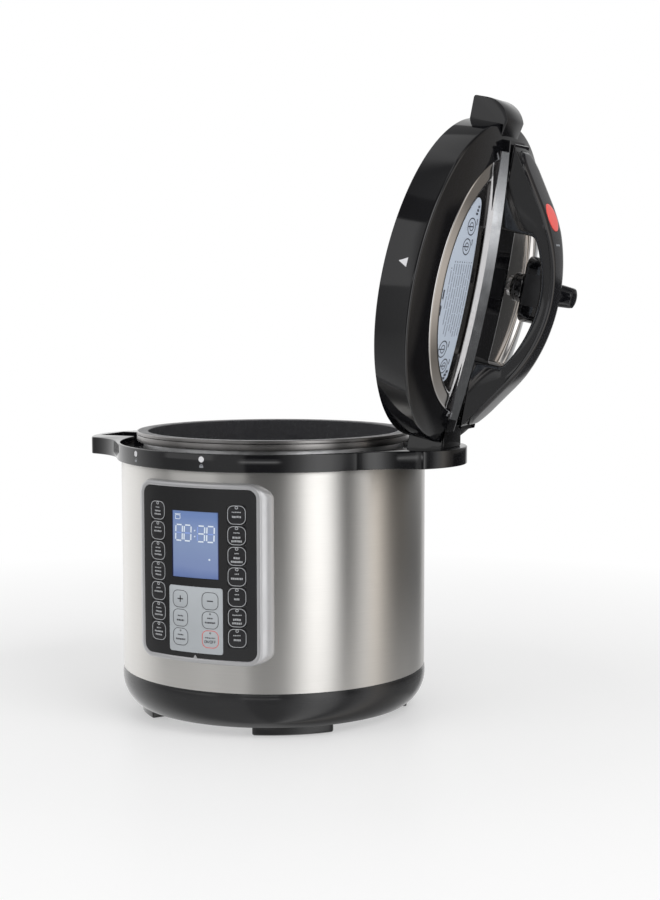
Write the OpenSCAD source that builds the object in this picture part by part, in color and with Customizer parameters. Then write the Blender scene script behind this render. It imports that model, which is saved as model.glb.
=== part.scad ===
// Electric pressure cooker, stored with its twist-lock lid standing in the holder of the right side handle.
// Millimetres. +Z up, the control panel faces -Y, the lid stands at +X.
// The origin is the middle of the underside of the bounding box, on the surface that the feet stand on.

/* [Body] */
// Outer radius of the steel body wrap
body_r = 142; // [139:0.5:146]
// Wall thickness of the steel body wrap
wrap_t = 0.8; // [0.5:0.1:1.2]
// Visible height of the steel body wrap
wrap_h = 193.8; // [188:0.2:215]
// Height of the black base ring
base_h = 33; // [30:0.5:40]
// How far the base ring's upper rim stands out from the wrap
base_proud = 0.6; // [0:0.1:1.5]
// Radius of the base ring's rounded side
base_round = 33; // [30:0.5:40]
// Wall thickness of the base ring
base_wall = 3; // [2:0.5:4]
// Height of the rubber feet
foot_h = 8; // [6:0.5:12]
// Distance of the feet's middle inside the body wrap
foot_inset = 24; // [20:1:30]
// Width of a foot across the ring
foot_w = 16; // [10:1:20]

/* [Collar and side handles] */
// How far the collar stands out from the body wrap
collar_proud = 4; // [3.5:0.1:5]
// Height of the collar
collar_h = 15.7; // [15:0.1:20]
// Thickness of the collar's outer wall
collar_wall = 2.8; // [2:0.2:3.4]
// Thickness of the floor of the groove in the collar
groove_floor = 3; // [2:0.5:4]
// Reach of a side handle past the collar
wing_len = 44; // [41:0.5:50]
// Reach of the outer corners of a side handle past the collar
wing_corner_out = 27; // [24:0.5:30]
// Half of the width of a side handle at its corners
wing_half_w = 46; // [42:0.5:56]
// Half of the width of a side handle where it leaves the collar
wing_root_half_w = 78; // [66:0.5:84]
// Corner radius of a side handle
wing_corner_r = 6; // [2:0.5:10]

/* [Pots] */
// How far the pots' rims stand out from the outer pot's wall
rim_overhang = 6; // [5:0.1:6.7]
// Height of the inner pot's rim above the collar's lower edge
rim_above = 26; // [22:0.2:32]
// Gap between the walls of the two pots
pot_side_gap = 1.5; // [1:0.1:10]
// Wall thickness of the inner pot
pot_t = 1.8; // [1.2:0.1:2.4]
// Thickness of the inner pot's rim
pot_rim_t = 3; // [2:0.5:5]
// Distance of the outer pot's wall inside the body wrap
jacket_gap = 20.5; // [19.5:0.1:21]
// Wall thickness of the outer pot
outer_pot_t = 2; // [1:0.1:2.2]
// Height of the outer pot's thick rim
outer_rim_h = 6; // [4:0.5:7]
// Height of the outer pot's floor above the table
outer_pot_z = 66; // [62:0.5:74]

/* [Heater] */
// Radius of the heating plate
plate_r = 90; // [70:1:100]
// Thickness of the heating plate
plate_h = 18; // [14:0.5:24]
// Radius of the thermostat button
sensor_r = 14; // [10:0.5:18]
// Travel of the thermostat button
sensor_travel = 3; // [1:0.5:4]
// Radius of the ring that the heating tube makes
tube_ring_r = 66; // [50:1:70]

/* [Control panel] */
// How far the panel's face stands out from the body wrap at its middle
panel_proud = 3.7; // [3.2:0.1:5]
// Radius of the panel's curvature
panel_r = 188; // [170:1:220]
// Half of the panel's width
panel_half_w = 57.5; // [57:0.5:64]
// Height of the panel's lower edge above the wrap's lower edge
panel_low = 30; // [25:0.5:33]
// Distance of the panel's upper edge below the collar
panel_high = 14.5; // [11:0.1:18]
// Width of the silver bezel's face around the panel
bezel_rim = 4.3; // [3:0.1:6]
// Width of the bezel's sloping flanks
bezel_flank = 7; // [3:0.5:9]
// Corner radius of the panel
panel_corner = 8; // [4:0.5:12]
// Thickness of the panel's cover and key caps
panel_t = 2; // [1:0.1:2.6]
// Gap around each key
key_gap = 0.3; // [0.2:0.05:0.6]
// Travel of a key
key_travel = 0.5; // [0.3:0.05:0.8]
// Width of a side key
key_w = 17; // [12:0.5:17]
// Gap between a side key and the next one below it
key_space = 1.1; // [0.8:0.1:5]
// Distance of the side keys' columns from the panel's middle
key_col = 40; // [37:0.5:42]

/* [Lid] */
// Outer radius of the lid's skirt
lid_r = 142.3; // [140:0.1:142.6]
// Height of the lid's skirt
skirt_h = 29.3; // [27:0.1:33]
// Wall thickness of the lid's cover
cover_t = 2.6; // [2:0.1:3]
// Radius of the two windows in the lid's cover
window_r = 113; // [106:0.5:116]
// Height of the cover at the windows' round edges
window_h = 36.8; // [35:0.1:39]
// Half of the width of the bridge across the lid
bridge_half_w = 20; // [17.5:0.5:22]
// Half of the width of the bridge's foot between the windows
bridge_foot_half_w = 25.5; // [23:0.5:30]
// Height of the bridge's top at the lid's middle
bridge_top = 48.3; // [47:0.1:51]
// Reach of the lid's ears
ear_reach = 161; // [156:0.5:163]
// Lean of the stored lid away from upright, in degrees
lid_lean = 11.5; // [10:0.1:13]
// Gap between the stored lid's ear and the floor of the holder
holder_gap = 0.3; // [0.2:0.05:0.5]

/* [Lid handle] */
// Height of the handle's body at its middle
arch_top = 99.5; // [96:0.5:104]
// Radius of the handle's arch
arch_r = 141.4; // [130:0.2:150]
// Steepest slope of the arch's ends, in degrees
arch_slope = 34.6; // [32:0.1:37]
// Depth of the handle's body at its middle
arch_depth = 9.6; // [8:0.1:13]
// Radius of the underside of the arch
arch_under_r = 118; // [110:1:130]
// Half of the handle's width at its ends
arch_half_w = 17.2; // [14:0.2:17.4]
// Half of the handle's width at its waist
arch_waist_half_w = 11.4; // [9:0.2:14]
// Thickness of the handle's top cover
strip_t = 3.4; // [2.5:0.1:5]
// Radius of the red pressure indicator
indicator_r = 11; // [7:0.5:11.5]
// Distance of the pressure indicator from the lid's middle
indicator_x = 70.4; // [66:0.2:74]
// Travel of the pressure indicator
indicator_travel = 4; // [2:0.5:5]
// Distance of the steam valve behind the handle's middle
valve_y = 48; // [46:0.5:56]

/* [Hidden] */
$fn = 96;
gap = 0.3; // clearance between pieces that don't touch
eps = 0.05; // overlap that makes cuts clean

// Radii that follow the body wrap
foot_ring_r = body_r - foot_inset;
collar_r = body_r + collar_proud;
wing_reach = collar_r + wing_len;
wing_corner_x = collar_r + wing_corner_out;
outer_pot_r = body_r - jacket_gap;
rim_r = outer_pot_r + rim_overhang;
pot_r = outer_pot_r - outer_pot_t - pot_side_gap;
panel_front = body_r + panel_proud;

// Heights above the table
wrap_z0 = foot_h + base_h;
collar_z0 = wrap_z0 + wrap_h;
collar_z1 = collar_z0 + collar_h;
rim_z1 = collar_z0 + rim_above;
rim_z0 = rim_z1 - pot_rim_t;
outer_rim_z0 = rim_z0 - outer_rim_h;
plate_z1 = outer_pot_z + plate_h;
pot_z0 = plate_z1 + gap;

// Base
base_r = body_r + base_proud;
base_arc_x = base_r - base_round;
base_arc_z = wrap_z0 - 7;
base_lip_h = 4;
floor_t = 2.5;
floor_r = base_arc_x + sqrt(pow(base_round - base_wall, 2) - pow(base_arc_z - foot_h, 2)) - gap;
floor_z1 = foot_h + floor_t;
boss_r = 5;
boss_h = 14;
boss_ring_r = floor_r - 13;
boss_angles = [5, 75, 155, 245];
screw_r = 1.6;
screw_head_r = 3.4;
screw_head_h = 1.6;
// Each foot: direction from the front, and the angle it spans
foot_places = [[-42, 16], [36, 34], [116, 16], [198, 34]];
vent_count = 9;
vent_w = 3;
vent_len = 44;
vent_pitch = 9;

// Body wrap, and the cut-out behind the panel
wrap_lap = 1.6;
wrap_z1 = collar_z0 + wrap_lap;
cut_half_w = 51;
cut_inset = 6;

// Collar
collar_in_r = collar_r - collar_wall;
guard_r = outer_pot_r + 7;
guard_wall = 2.4;
guard_drop = 10;
groove_z = collar_z0 + wrap_lap + gap + groove_floor;
wing_end_r = (pow(wing_half_w, 2) + pow(wing_reach - wing_corner_x, 2)) / (2 * (wing_reach - wing_corner_x));
wing_root_x = sqrt(pow(collar_r, 2) - pow(wing_root_half_w, 2));
wing_wall = 3;
wing_top = 3;
wing_root_wall = 2.5;
mark_angle = 35;

// Stored lid's place, so that its ear stands on the holder's floor
holder_floor = 4.4;
holder_clear = 0.45;
holder_z = collar_z0 + holder_floor;
holder_wall = 2.6;
ear_round = 24;
ear_round_x = ear_reach - ear_round;
ear_round_h = 12;
ear_inner_x = lid_r - cover_t;
ear_dip = ear_round_x * cos(lid_lean) + ear_round_h * sin(lid_lean) + ear_round;
lid_x = collar_in_r + holder_clear + ear_reach * sin(lid_lean);
lid_z = holder_z + holder_gap + ear_dip;
ear_in_angle = lid_lean + acos((ear_round - (collar_z1 - holder_z - holder_gap)) / ear_round);
ear_out_x = lid_x - (ear_round_x + ear_round * cos(ear_in_angle)) * sin(lid_lean)
    + (ear_round_h + ear_round * sin(ear_in_angle)) * cos(lid_lean);
holder_x1 = ear_out_x + holder_clear;
holder_half_w = bridge_half_w + holder_clear;

// Panel
panel_z0 = wrap_z0 + panel_low;
panel_z1 = collar_z0 - panel_high;
panel_cy = panel_r - panel_front;
panel_back_r = panel_r - panel_t;
deg_per_mm = 180 / (PI * panel_r);
panel_reach = 40;
bezel_ledge = 4;
bezel_foot_x = panel_r * sin((panel_half_w + bezel_rim) * deg_per_mm) + bezel_flank;
key_round = 2.6;
key_rows = 7;
key_margin_top = 13.4;
key_margin_low = 10.6;
key_pitch = (panel_z1 - panel_z0 - key_margin_top - key_margin_low) / key_rows;
key_h = key_pitch - key_space;
key_top_z = panel_z1 - key_margin_top;
pad_half_w = 27;
pad_z0 = panel_z0 + 4.5;
pad_share = 0.39116;
pad_h = (panel_z1 - panel_z0) * pad_share;
pad_proud = 0.3;
pad_key_w = 16.4;
pad_margin = 5.2;
pad_key_space = 0.9;
pad_key_pitch = (pad_h - 2 * pad_margin + 2.4) / 3;
pad_key_h = pad_key_pitch - pad_key_space;
pad_key_col = 15;
pad_key_z = pad_z0 + pad_margin + pad_key_h / 2;
lcd_half_w = 23.4;
lcd_z0 = pad_z0 + pad_h + 7.5;
lcd_share = 0.39183;
lcd_h = (panel_z1 - panel_z0) * lcd_share;
lcd_frame = 3;
lcd_depth = 6;
board_t = 1.6;
board_y = -(outer_pot_r + 4.5);
board_half_w = 50;
board_z0 = panel_z0 + 6;
board_h = panel_z1 - panel_z0 - 12;
tact_r = 3;
tact_h = 5.4;
tact_y = board_y - board_t - tact_h;
stem_r = 2.2;
post_x = 46;
post_r = 2;
post_inset = 2.2;

// Heater and electrics
tube_r = 4;
tube_z = outer_pot_z + tube_r + 1;
tube_pin_r = 2.4;
tube_pin_drop = 16;
tube_pin_angle = 12;
plate_hole_r = sensor_r + 1;
floor_hole_r = sensor_r + 2;
sensor_h = 10;
sensor_wall = 2;
frame_h = 4;
frame_r0 = 92;
frame_r1 = 114;
frame_z1 = outer_pot_z - outer_pot_t;
frame_legs = [20, 140, 260];
leg_r = 5;
strap_w = 22;
strap_t = 2;
spring_r = 8;
spring_wire_r = 0.7;
spring_turns = 6;
spring_z0 = frame_z1 - frame_h;
spring_z1 = plate_z1 - sensor_wall - 2 * gap;
power_z = floor_z1 + 10;
power_w = 104;
power_d = 76;

// Mains inlet and condensate cup at the back
inlet_w = 32;
inlet_h = 25;
inlet_depth = 18;
inlet_z = wrap_z0 + 17;
inlet_hole = [24, 17, 15];
inlet_flange = 4;
inlet_pins = [-7, 0, 7];
cup_r0 = body_r + 2.6;
cup_r1 = body_r + 24;
cup_half_w = 26;
cup_h = 52;
cup_z1 = collar_z0 - 16;
cup_wall = 1.8;
cup_flange = 2.4;
cup_flange_t = 2;
bracket_rail_t = 2.4;
bracket_roof = 3;

// Lid, in its own closed pose: X along the handle, Z up, zero at the skirt's mouth
ridge_r = 3;
ridge_angle = 74;
shoulder_x = lid_r - ridge_r + ridge_r * cos(ridge_angle);
shoulder_h = skirt_h - ridge_r * (1 - sin(ridge_angle));
bridge_end_x = 128;
bridge_end_h = bridge_top - 8.1;
bridge_crown_r = (pow(bridge_end_x, 2) + pow(bridge_top - bridge_end_h, 2)) / (2 * (bridge_top - bridge_end_h));
ear_tangent = 72;
foot_z0 = 34;
cavity_half_x = 94;
cavity_half_w = bridge_half_w - cover_t;

// Steel lid under the cover
dome_t = 1.2;
dome_r = 131;
dome_drop = 4;
dome_wall_h = 21;
dome_round = 8;
dome_shelf_r = window_r - 1;
dome_shelf_h = 33;
dome_step_r = window_r - 9;
dome_step_h = 35;
dome_top = 41;
dome_crown_r = (pow(dome_step_r, 2) + pow(dome_top - dome_step_h, 2)) / (2 * (dome_top - dome_step_h));
tooth_count = 8;
tooth_span = 17;
tooth_r = 124.2;
tooth_t = 2.4;
stud_r = 4;
stud_z0 = 2;
rack_r = 122;
rack_z0 = 10.5;
rack_t = 1;
rack_holes = 12;
seal_r0 = 118;
seal_r1 = dome_r - dome_t - 0.4;
seal_z0 = 7;
seal_h = 11;
label_r = window_r - 14;
label_y = 35;
label_t = 0.3;
label_seat = 0.15;

// Handle on the lid
arch_cz = arch_top - arch_r;
arch_run_x = arch_r * sin(arch_slope);
arch_run_h = arch_cz + arch_r * cos(arch_slope);
arch_end_x = 126;
arch_under_top = arch_top - arch_depth;
arch_under_cz = arch_under_top - arch_under_r;
grip_x0 = -52;
grip_x1 = 63;
grip_round = 5;
waist_len = 64;
waist_in = arch_half_w - arch_waist_half_w;
waist_r = (pow(waist_len, 2) + pow(waist_in, 2)) / (2 * waist_in);
strip_end_x = 121;
pillar_hollow_w = 9;
pillar_hollow_h = 26;
screw_x = 98;
lid_screw_z1 = 54;
float_r = 2.2;
float_flange_r = 5;
float_flange_t = 1.5;
float_z0 = dome_top - dome_t - indicator_travel - 5;
cap_proud = 0.9;
cap_z0 = 69;
valve_x = -3;
vent_r = 5;
vent_bore_r = 1.6;
valve_r = 13;
valve_top = 103;
valve_body_z = 56;
valve_lever_h = 22;
valve_lever_x = 30;
valve_lever_r = 11;

// ---------- shared shapes ----------

function arc(c, r, a0, a1, n) =
    [for (i = [0:n]) [c[0] + r * cos(a0 + (a1 - a0) * i / n), c[1] + r * sin(a0 + (a1 - a0) * i / n)]];

function rounded(x0, z0, x1, z1, r) = concat(
    arc([x1 - r, z0 + r], r, -90, 0, 5),
    arc([x1 - r, z1 - r], r, 0, 90, 5),
    arc([x0 + r, z1 - r], r, 90, 180, 5),
    arc([x0 + r, z0 + r], r, 180, 270, 5)
);

module ring(r0, r1, h) {
    difference() {
        cylinder(r = r1, h = h);
        translate([0, 0, -1]) cylinder(r = r0, h = h + 2);
    }
}

module sector(r0, r1, h, span) {
    rotate([0, 0, -90 - span / 2]) rotate_extrude(angle = span)
        translate([r0, 0]) square([r1 - r0, h]);
}

// A shape drawn in X and Z, as thick as Y says
module slab(y0, y1) {
    translate([0, y1, 0]) rotate([90, 0, 0]) linear_extrude(y1 - y0) children();
}

// From the pot's axis to the middle of the whole bounding box
lid_reach = lid_x + arch_cz * cos(lid_lean) + arch_r + strip_t;
frame_x = (lid_reach - wing_reach) / 2;
frame_y = (cup_r1 - collar_r) / 2;
module place() {
    translate([-frame_x, -frame_y, 0]) children();
}

// The lid's own closed pose, turned into its stored one
module at_lid() {
    place() translate([lid_x, 0, lid_z]) rotate([0, 90 + lid_lean, 0]) children();
}

// ---------- base ----------

module base_outline(shrink) {
    r = base_round - shrink;
    intersection() {
        translate([0, foot_h]) square([base_r, base_h]);
        union() {
            translate([base_arc_x, base_arc_z]) circle(r = r);
            translate([0, foot_h]) square([base_arc_x, base_h]);
            translate([0, base_arc_z]) square([base_arc_x + r, base_h]);
        }
    }
}

module base_boss(a) {
    rotate([0, 0, a]) {
        difference() {
            union() {
                translate([boss_ring_r, 0, floor_z1]) cylinder(r = boss_r, h = boss_h);
                translate([boss_ring_r, -1.5, floor_z1 + 4]) cube([base_arc_x + base_round - 10 - boss_ring_r, 3, boss_h - 4]);
            }
            translate([boss_ring_r, 0, floor_z1 - 1]) cylinder(r = screw_r, h = boss_h - 1);
        }
    }
}

module base_ring() {
    color([0.07, 0.07, 0.075]) place() {
        rotate_extrude() difference() {
            base_outline(0);
            base_outline(base_wall);
        }
        translate([0, 0, wrap_z0 - 2]) ring(base_r - base_wall, body_r - wrap_t - 0.1, base_lip_h + 2);
        for (a = boss_angles) base_boss(a);
    }
}

module bottom_plate() {
    color([0.1, 0.1, 0.1]) place() difference() {
        translate([0, 0, foot_h]) cylinder(r = floor_r, h = floor_t);
        for (a = boss_angles) rotate([0, 0, a]) translate([boss_ring_r, 0, foot_h - 1]) {
            cylinder(r = screw_r + 0.3, h = floor_t + 2);
            cylinder(r = screw_head_r + 0.2, h = screw_head_h + 1);
        }
        for (i = [1:vent_count]) translate([(i - (vent_count + 1) / 2) * vent_pitch - vent_w / 2, -vent_len / 2, foot_h - 1])
            cube([vent_w, vent_len, floor_t + 2]);
    }
}

module feet() {
    color([0.06, 0.06, 0.06]) place() for (f = foot_places)
        rotate([0, 0, f[0]]) sector(foot_ring_r - foot_w / 2, foot_ring_r + foot_w / 2, foot_h, f[1]);
}

module base_screws() {
    color([0.6, 0.6, 0.6]) place() for (a = boss_angles)
        rotate([0, 0, a]) translate([boss_ring_r, 0, foot_h]) {
            difference() {
                cylinder(r = screw_head_r, h = screw_head_h);
                translate([-2.2, -0.4, -1]) cube([4.4, 0.8, 1.8]);
                translate([-0.4, -2.2, -1]) cube([0.8, 4.4, 1.8]);
            }
            cylinder(r = screw_r - 0.05, h = floor_t + boss_h - 4);
        }
}

// ---------- body wrap and collar ----------

module body_wrap() {
    color([0.72, 0.7, 0.67]) place() difference() {
        translate([0, 0, wrap_z0]) ring(body_r - wrap_t, body_r, wrap_z1 - wrap_z0);
        translate([-cut_half_w, -body_r - 1, panel_z0 + cut_inset])
            cube([2 * cut_half_w, 60, panel_z1 - panel_z0 - 2 * cut_inset]);
        translate([-inlet_w / 2 - gap, body_r - 20, inlet_z - inlet_h / 2 - gap])
            cube([inlet_w + 2 * gap, 30, inlet_h + 2 * gap]);
    }
}

// Plan outline of the two side handles, with straight flanks and a round end
module wings_plan(shrink) {
    slope = (wing_root_half_w - wing_half_w) / (wing_corner_x - wing_root_x);
    x0 = wing_root_x - 20;
    y0 = wing_root_half_w + 20 * slope - shrink;
    x1 = wing_corner_x - shrink;
    y1 = wing_half_w - shrink;
    for (s = [0, 180]) rotate(s) intersection() {
        polygon([
            [x0, -y0], [x1, -y1], [wing_reach + 5, 2 - y1],
            [wing_reach + 5, y1 - 2], [x1, y1], [x0, y0]
        ]);
        translate([wing_reach - wing_end_r, 0]) circle(r = wing_end_r - shrink);
    }
}

module holder_plan() {
    x0 = collar_r + wing_root_wall;
    translate([x0 - 6, -holder_half_w - holder_wall])
        square([holder_x1 + holder_wall - x0 + 6, 2 * (holder_half_w + holder_wall)]);
}

module collar() {
    color([0.02, 0.02, 0.022]) place() difference() {
        union() {
            // guard around the pots, floor of the groove, and the wall outside it
            rotate_extrude() polygon([
                [guard_r, collar_z0 - guard_drop], [guard_r + guard_wall, collar_z0 - guard_drop],
                [guard_r + guard_wall, groove_z - groove_floor], [body_r + gap, groove_z - groove_floor],
                [body_r + gap, collar_z0], [collar_r, collar_z0], [collar_r, collar_z1],
                [collar_in_r, collar_z1], [collar_in_r, groove_z], [guard_r, groove_z]
            ]);
            difference() {
                translate([0, 0, collar_z0]) linear_extrude(collar_h) difference() {
                    wings_plan(0);
                    circle(r = collar_r - 1);
                }
                // hollow under the side handles, around their holders
                translate([0, 0, collar_z0 - 1]) linear_extrude(collar_h - wing_top + 1) difference() {
                    wings_plan(wing_wall);
                    circle(r = collar_r + wing_root_wall);
                    for (s = [0, 180]) rotate(s) holder_plan();
                }
            }
        }
        for (s = [0, 180]) rotate([0, 0, s]) translate([collar_in_r - 6, -holder_half_w, holder_z])
            cube([holder_x1 - collar_in_r + 6, 2 * holder_half_w, collar_h]);
    }
}

// ---------- pots ----------

module outer_pot() {
    color([0.55, 0.55, 0.56]) place() difference() {
        union() {
            translate([0, 0, outer_pot_z - outer_pot_t]) cylinder(r = outer_pot_r, h = rim_z0 - outer_pot_z + outer_pot_t);
            translate([0, 0, outer_rim_z0]) cylinder(r = rim_r, h = outer_rim_h);
        }
        translate([0, 0, outer_pot_z]) cylinder(r = outer_pot_r - outer_pot_t, h = rim_z0);
        translate([0, 0, outer_pot_z - 10]) cylinder(r = floor_hole_r, h = 20);
        for (s = [-1, 1]) rotate([0, 0, s * tube_pin_angle])
            translate([0, -tube_ring_r, outer_pot_z - 10]) cylinder(r = tube_pin_r + 2, h = 20);
    }
}

module pot_outline(shrink) {
    corner = 16;
    r = pot_r - shrink;
    z = pot_z0 + shrink;
    translate([0, z]) square([r - corner + shrink, rim_z1 - z]);
    translate([0, pot_z0 + corner]) square([r, rim_z1 - pot_z0 - corner]);
    translate([pot_r - corner, pot_z0 + corner]) circle(r = corner - shrink);
}

module inner_pot() {
    color([0.2, 0.2, 0.21]) place() rotate_extrude() {
        difference() {
            pot_outline(0);
            pot_outline(pot_t);
        }
        translate([pot_r - 0.5, rim_z0]) square([rim_r - pot_r + 0.5, pot_rim_t]);
    }
}

// ---------- heater ----------

module support_frame() {
    color([0.5, 0.5, 0.52]) place() {
        translate([0, 0, frame_z1 - frame_h]) ring(frame_r0, frame_r1, frame_h);
        translate([-frame_r0 - 2, -strap_w / 2, frame_z1 - frame_h - strap_t]) cube([2 * frame_r0 + 4, strap_w, strap_t + eps]);
        for (a = frame_legs) rotate([0, 0, a]) translate([(frame_r0 + frame_r1) / 2, 0, floor_z1])
            cylinder(r = leg_r, h = frame_z1 - frame_h / 2 - floor_z1);
    }
}

module heating_plate() {
    color([0.62, 0.62, 0.63]) place() difference() {
        translate([0, 0, outer_pot_z]) cylinder(r = plate_r, h = plate_h);
        translate([0, 0, outer_pot_z - 1]) cylinder(r = plate_hole_r, h = plate_h + 2);
        translate([0, 0, outer_pot_z - 1])
            ring(tube_ring_r - tube_r - 0.1, tube_ring_r + tube_r + 0.1, tube_z + tube_r + 0.1 - outer_pot_z + 1);
    }
}

module heating_tube() {
    color([0.35, 0.33, 0.3]) place() {
        translate([0, 0, tube_z]) rotate_extrude() translate([tube_ring_r, 0]) circle(r = tube_r);
        for (s = [-1, 1]) rotate([0, 0, s * tube_pin_angle])
            translate([0, -tube_ring_r, tube_z - tube_pin_drop]) cylinder(r = tube_pin_r, h = tube_pin_drop);
    }
}

module sensor_button() {
    z1 = plate_z1 - gap;
    color([0.75, 0.75, 0.75]) place() difference() {
        translate([0, 0, z1 - sensor_h]) cylinder(r = sensor_r, h = sensor_h);
        translate([0, 0, z1 - sensor_h - 1]) cylinder(r = sensor_r - sensor_wall, h = sensor_h - sensor_wall + 1);
    }
}

// Coil spring: a round wire swept along a helix
module sensor_spring() {
    steps = 14;
    sides = 8;
    count = spring_turns * steps;
    climb = (spring_z1 - spring_z0 - 2 * spring_wire_r) / count;
    points = [for (i = [0:count]) for (k = [0:sides - 1])
        let (a = 360 * i / steps, b = 360 * k / sides, r = spring_r + spring_wire_r * cos(b))
        [r * cos(a), r * sin(a), spring_z0 + spring_wire_r + climb * i + spring_wire_r * sin(b)]];
    sides_faces = [for (i = [0:count - 1]) for (k = [0:sides - 1])
        let (n = (k + 1) % sides)
        [i * sides + k, (i + 1) * sides + k, (i + 1) * sides + n, i * sides + n]];
    ends = [[for (k = [0:sides - 1]) k], [for (k = [sides - 1:-1:0]) count * sides + k]];
    color([0.7, 0.7, 0.72]) place() polyhedron(points = points, faces = concat(sides_faces, ends), convexity = 8);
}

module thermal_fuse() {
    r = 3;
    color([0.85, 0.83, 0.78]) place() translate([-40, 34, frame_z1 - r - gap]) rotate([0, 90, 0]) cylinder(r = r, h = 24);
}

module pressure_switch() {
    color([0.85, 0.84, 0.8]) place() {
        translate([-12, 50, frame_z1 - gap - 20]) cube([24, 16, 16]);
        translate([0, 58, frame_z1 - gap - 5]) cylinder(r = 3, h = 5);
    }
}

// ---------- electrics ----------

// One part on the power board: place and size are shares of the board's width, and hgt is its height
module board_part(at, size, hgt) {
    translate([at[0] * power_w, at[1] * power_w, power_z + board_t - eps])
        cube([size[0] * power_w, size[1] * power_w, hgt * power_w]);
}

module board_can(at, share, hgt) {
    translate([at[0] * power_w, at[1] * power_w, power_z + board_t - eps])
        cylinder(r = share * power_w, h = hgt * power_w);
}

module power_board() {
    inset = 0.06 * power_w;
    color([0.1, 0.35, 0.2]) place() translate([-power_w / 2, -power_d / 2, 0]) {
        translate([0, 0, power_z]) cube([power_w, power_d, board_t]);
        for (px = [inset, power_w - inset]) for (py = [inset, power_d - inset])
            translate([px, py, floor_z1]) cylinder(r = inset / 2, h = power_z - floor_z1 + eps);
        board_part([0.1, 0.13], [0.17, 0.13], 0.14);
        board_part([0.33, 0.13], [0.25, 0.21], 0.18);
        board_part([0.63, 0.46], [0.23, 0.12], 0.15);
        board_can([0.71, 0.23], 0.077, 0.19);
        board_can([0.19, 0.54], 0.048, 0.115);
    }
}

// Places of the keys on the panel: arc position across it and height above the table
side_keys = [for (s = [-1, 1]) for (i = [0:key_rows - 1]) [s * key_col, key_top_z - key_h / 2 - i * key_pitch]];
pad_keys = [for (s = [-1, 1]) for (i = [0:2]) [s * pad_key_col, pad_key_z + (2 - i) * pad_key_pitch]];

module control_board() {
    y0 = board_y - board_t;
    color([0.1, 0.4, 0.22]) place() {
        translate([-board_half_w, y0, board_z0]) cube([2 * board_half_w, board_t, board_h]);
        for (k = concat(side_keys, pad_keys)) translate([(panel_back_r - 5) * sin(k[0] * deg_per_mm), y0 + eps, k[1]])
            rotate([90, 0, 0]) cylinder(r = tact_r, h = tact_h + eps);
        for (sx = [-1, 1]) for (z = [board_z0 + post_inset, board_z0 + board_h - post_inset]) translate([sx * post_x, y0 + eps, z])
            rotate([90, 0, 0]) cylinder(r = post_r, h = y0 + eps - panel_y(post_x + post_r, panel_back_r));
    }
}

// ---------- control panel ----------

// The panel's curved faces: x across, then y (negative) on the surface of radius r
function panel_y(x, r) = panel_cy - sqrt(pow(r, 2) - pow(x, 2));
function panel_x(s) = panel_r * sin(s * deg_per_mm);

module on_panel(s, z) {
    translate([0, panel_cy, z]) rotate([0, 0, s * deg_per_mm]) translate([0, -panel_r, 0]) children();
}

// A layer of the panel between two radii, cut to a shape drawn in X and Z
module panel_layer(r0, r1) {
    intersection() {
        translate([0, panel_cy, wrap_z0]) ring(r0, r1, wrap_h);
        slab(-panel_front - 3, -panel_front + panel_reach) children();
    }
}

module panel_outline(grow, r) {
    x = panel_x(panel_half_w + grow);
    polygon(rounded(-x, panel_z0 - grow, x, panel_z1 + grow, r));
}

module pad_outline(grow) {
    x = panel_x(pad_half_w) + grow;
    polygon(rounded(-x, pad_z0 - grow, x, pad_z0 + pad_h + grow, 2));
}

module lcd_outline(grow) {
    x = panel_x(lcd_half_w) + grow;
    translate([-x, lcd_z0 - grow]) square([2 * x, lcd_h + 2 * grow]);
}

module key_outline(w, h, grow) {
    polygon(rounded(-w / 2 - grow, -h / 2 - grow, w / 2 + grow, h / 2 + grow, key_round + grow));
}

module panel_bezel() {
    rim_x = panel_x(panel_half_w + bezel_rim);
    rim_y = panel_y(rim_x, panel_r);
    foot_y = -sqrt(pow(body_r, 2) - pow(bezel_foot_x, 2)) + 1;
    back_y = -panel_front + panel_reach;
    color([0.66, 0.66, 0.66]) place() difference() {
        union() {
            intersection() {
                translate([0, panel_cy, wrap_z0]) cylinder(r = panel_r, h = wrap_h);
                translate([0, 0, wrap_z0]) linear_extrude(wrap_h) polygon([
                    [-bezel_foot_x, foot_y], [-rim_x, rim_y], [-rim_x, -panel_front - 5],
                    [rim_x, -panel_front - 5], [rim_x, rim_y], [bezel_foot_x, foot_y],
                    [bezel_foot_x, back_y], [-bezel_foot_x, back_y]
                ]);
                slab(-panel_front - 5, back_y) polygon(rounded(
                    -bezel_foot_x - 1, panel_z0 - bezel_rim, bezel_foot_x + 1, panel_z1 + bezel_rim, panel_corner + bezel_rim));
            }
        }
        translate([0, 0, wrap_z0 - 1]) cylinder(r = body_r + gap, h = wrap_h + 2);
        difference() {
            slab(-panel_front - 6, back_y + 1) panel_outline(0, panel_corner);
            // ledge that carries the black cover
            difference() {
                translate([0, panel_cy, wrap_z0]) cylinder(r = panel_back_r - gap, h = wrap_h);
                slab(-panel_front - 6, back_y + 1) panel_outline(-bezel_ledge, panel_corner - 2);
            }
        }
    }
}

module panel_cover() {
    color([0.015, 0.015, 0.017]) place() difference() {
        panel_layer(panel_back_r, panel_r) panel_outline(-key_gap / 3, panel_corner);
        for (k = side_keys) on_panel(k[0], k[1]) slab(-5, 8) key_outline(key_w, key_h, key_gap);
        slab(-panel_front - 5, -panel_front + panel_reach) pad_outline(key_gap / 3);
        slab(-panel_front - 5, -panel_front + panel_reach) lcd_outline(key_gap / 3);
    }
}

module panel_pad() {
    color([0.78, 0.79, 0.8]) place() difference() {
        panel_layer(panel_back_r, panel_r + pad_proud) pad_outline(0);
        for (k = pad_keys) on_panel(k[0], k[1]) slab(-5, 8) key_outline(pad_key_w, pad_key_h, key_gap);
    }
}

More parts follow.
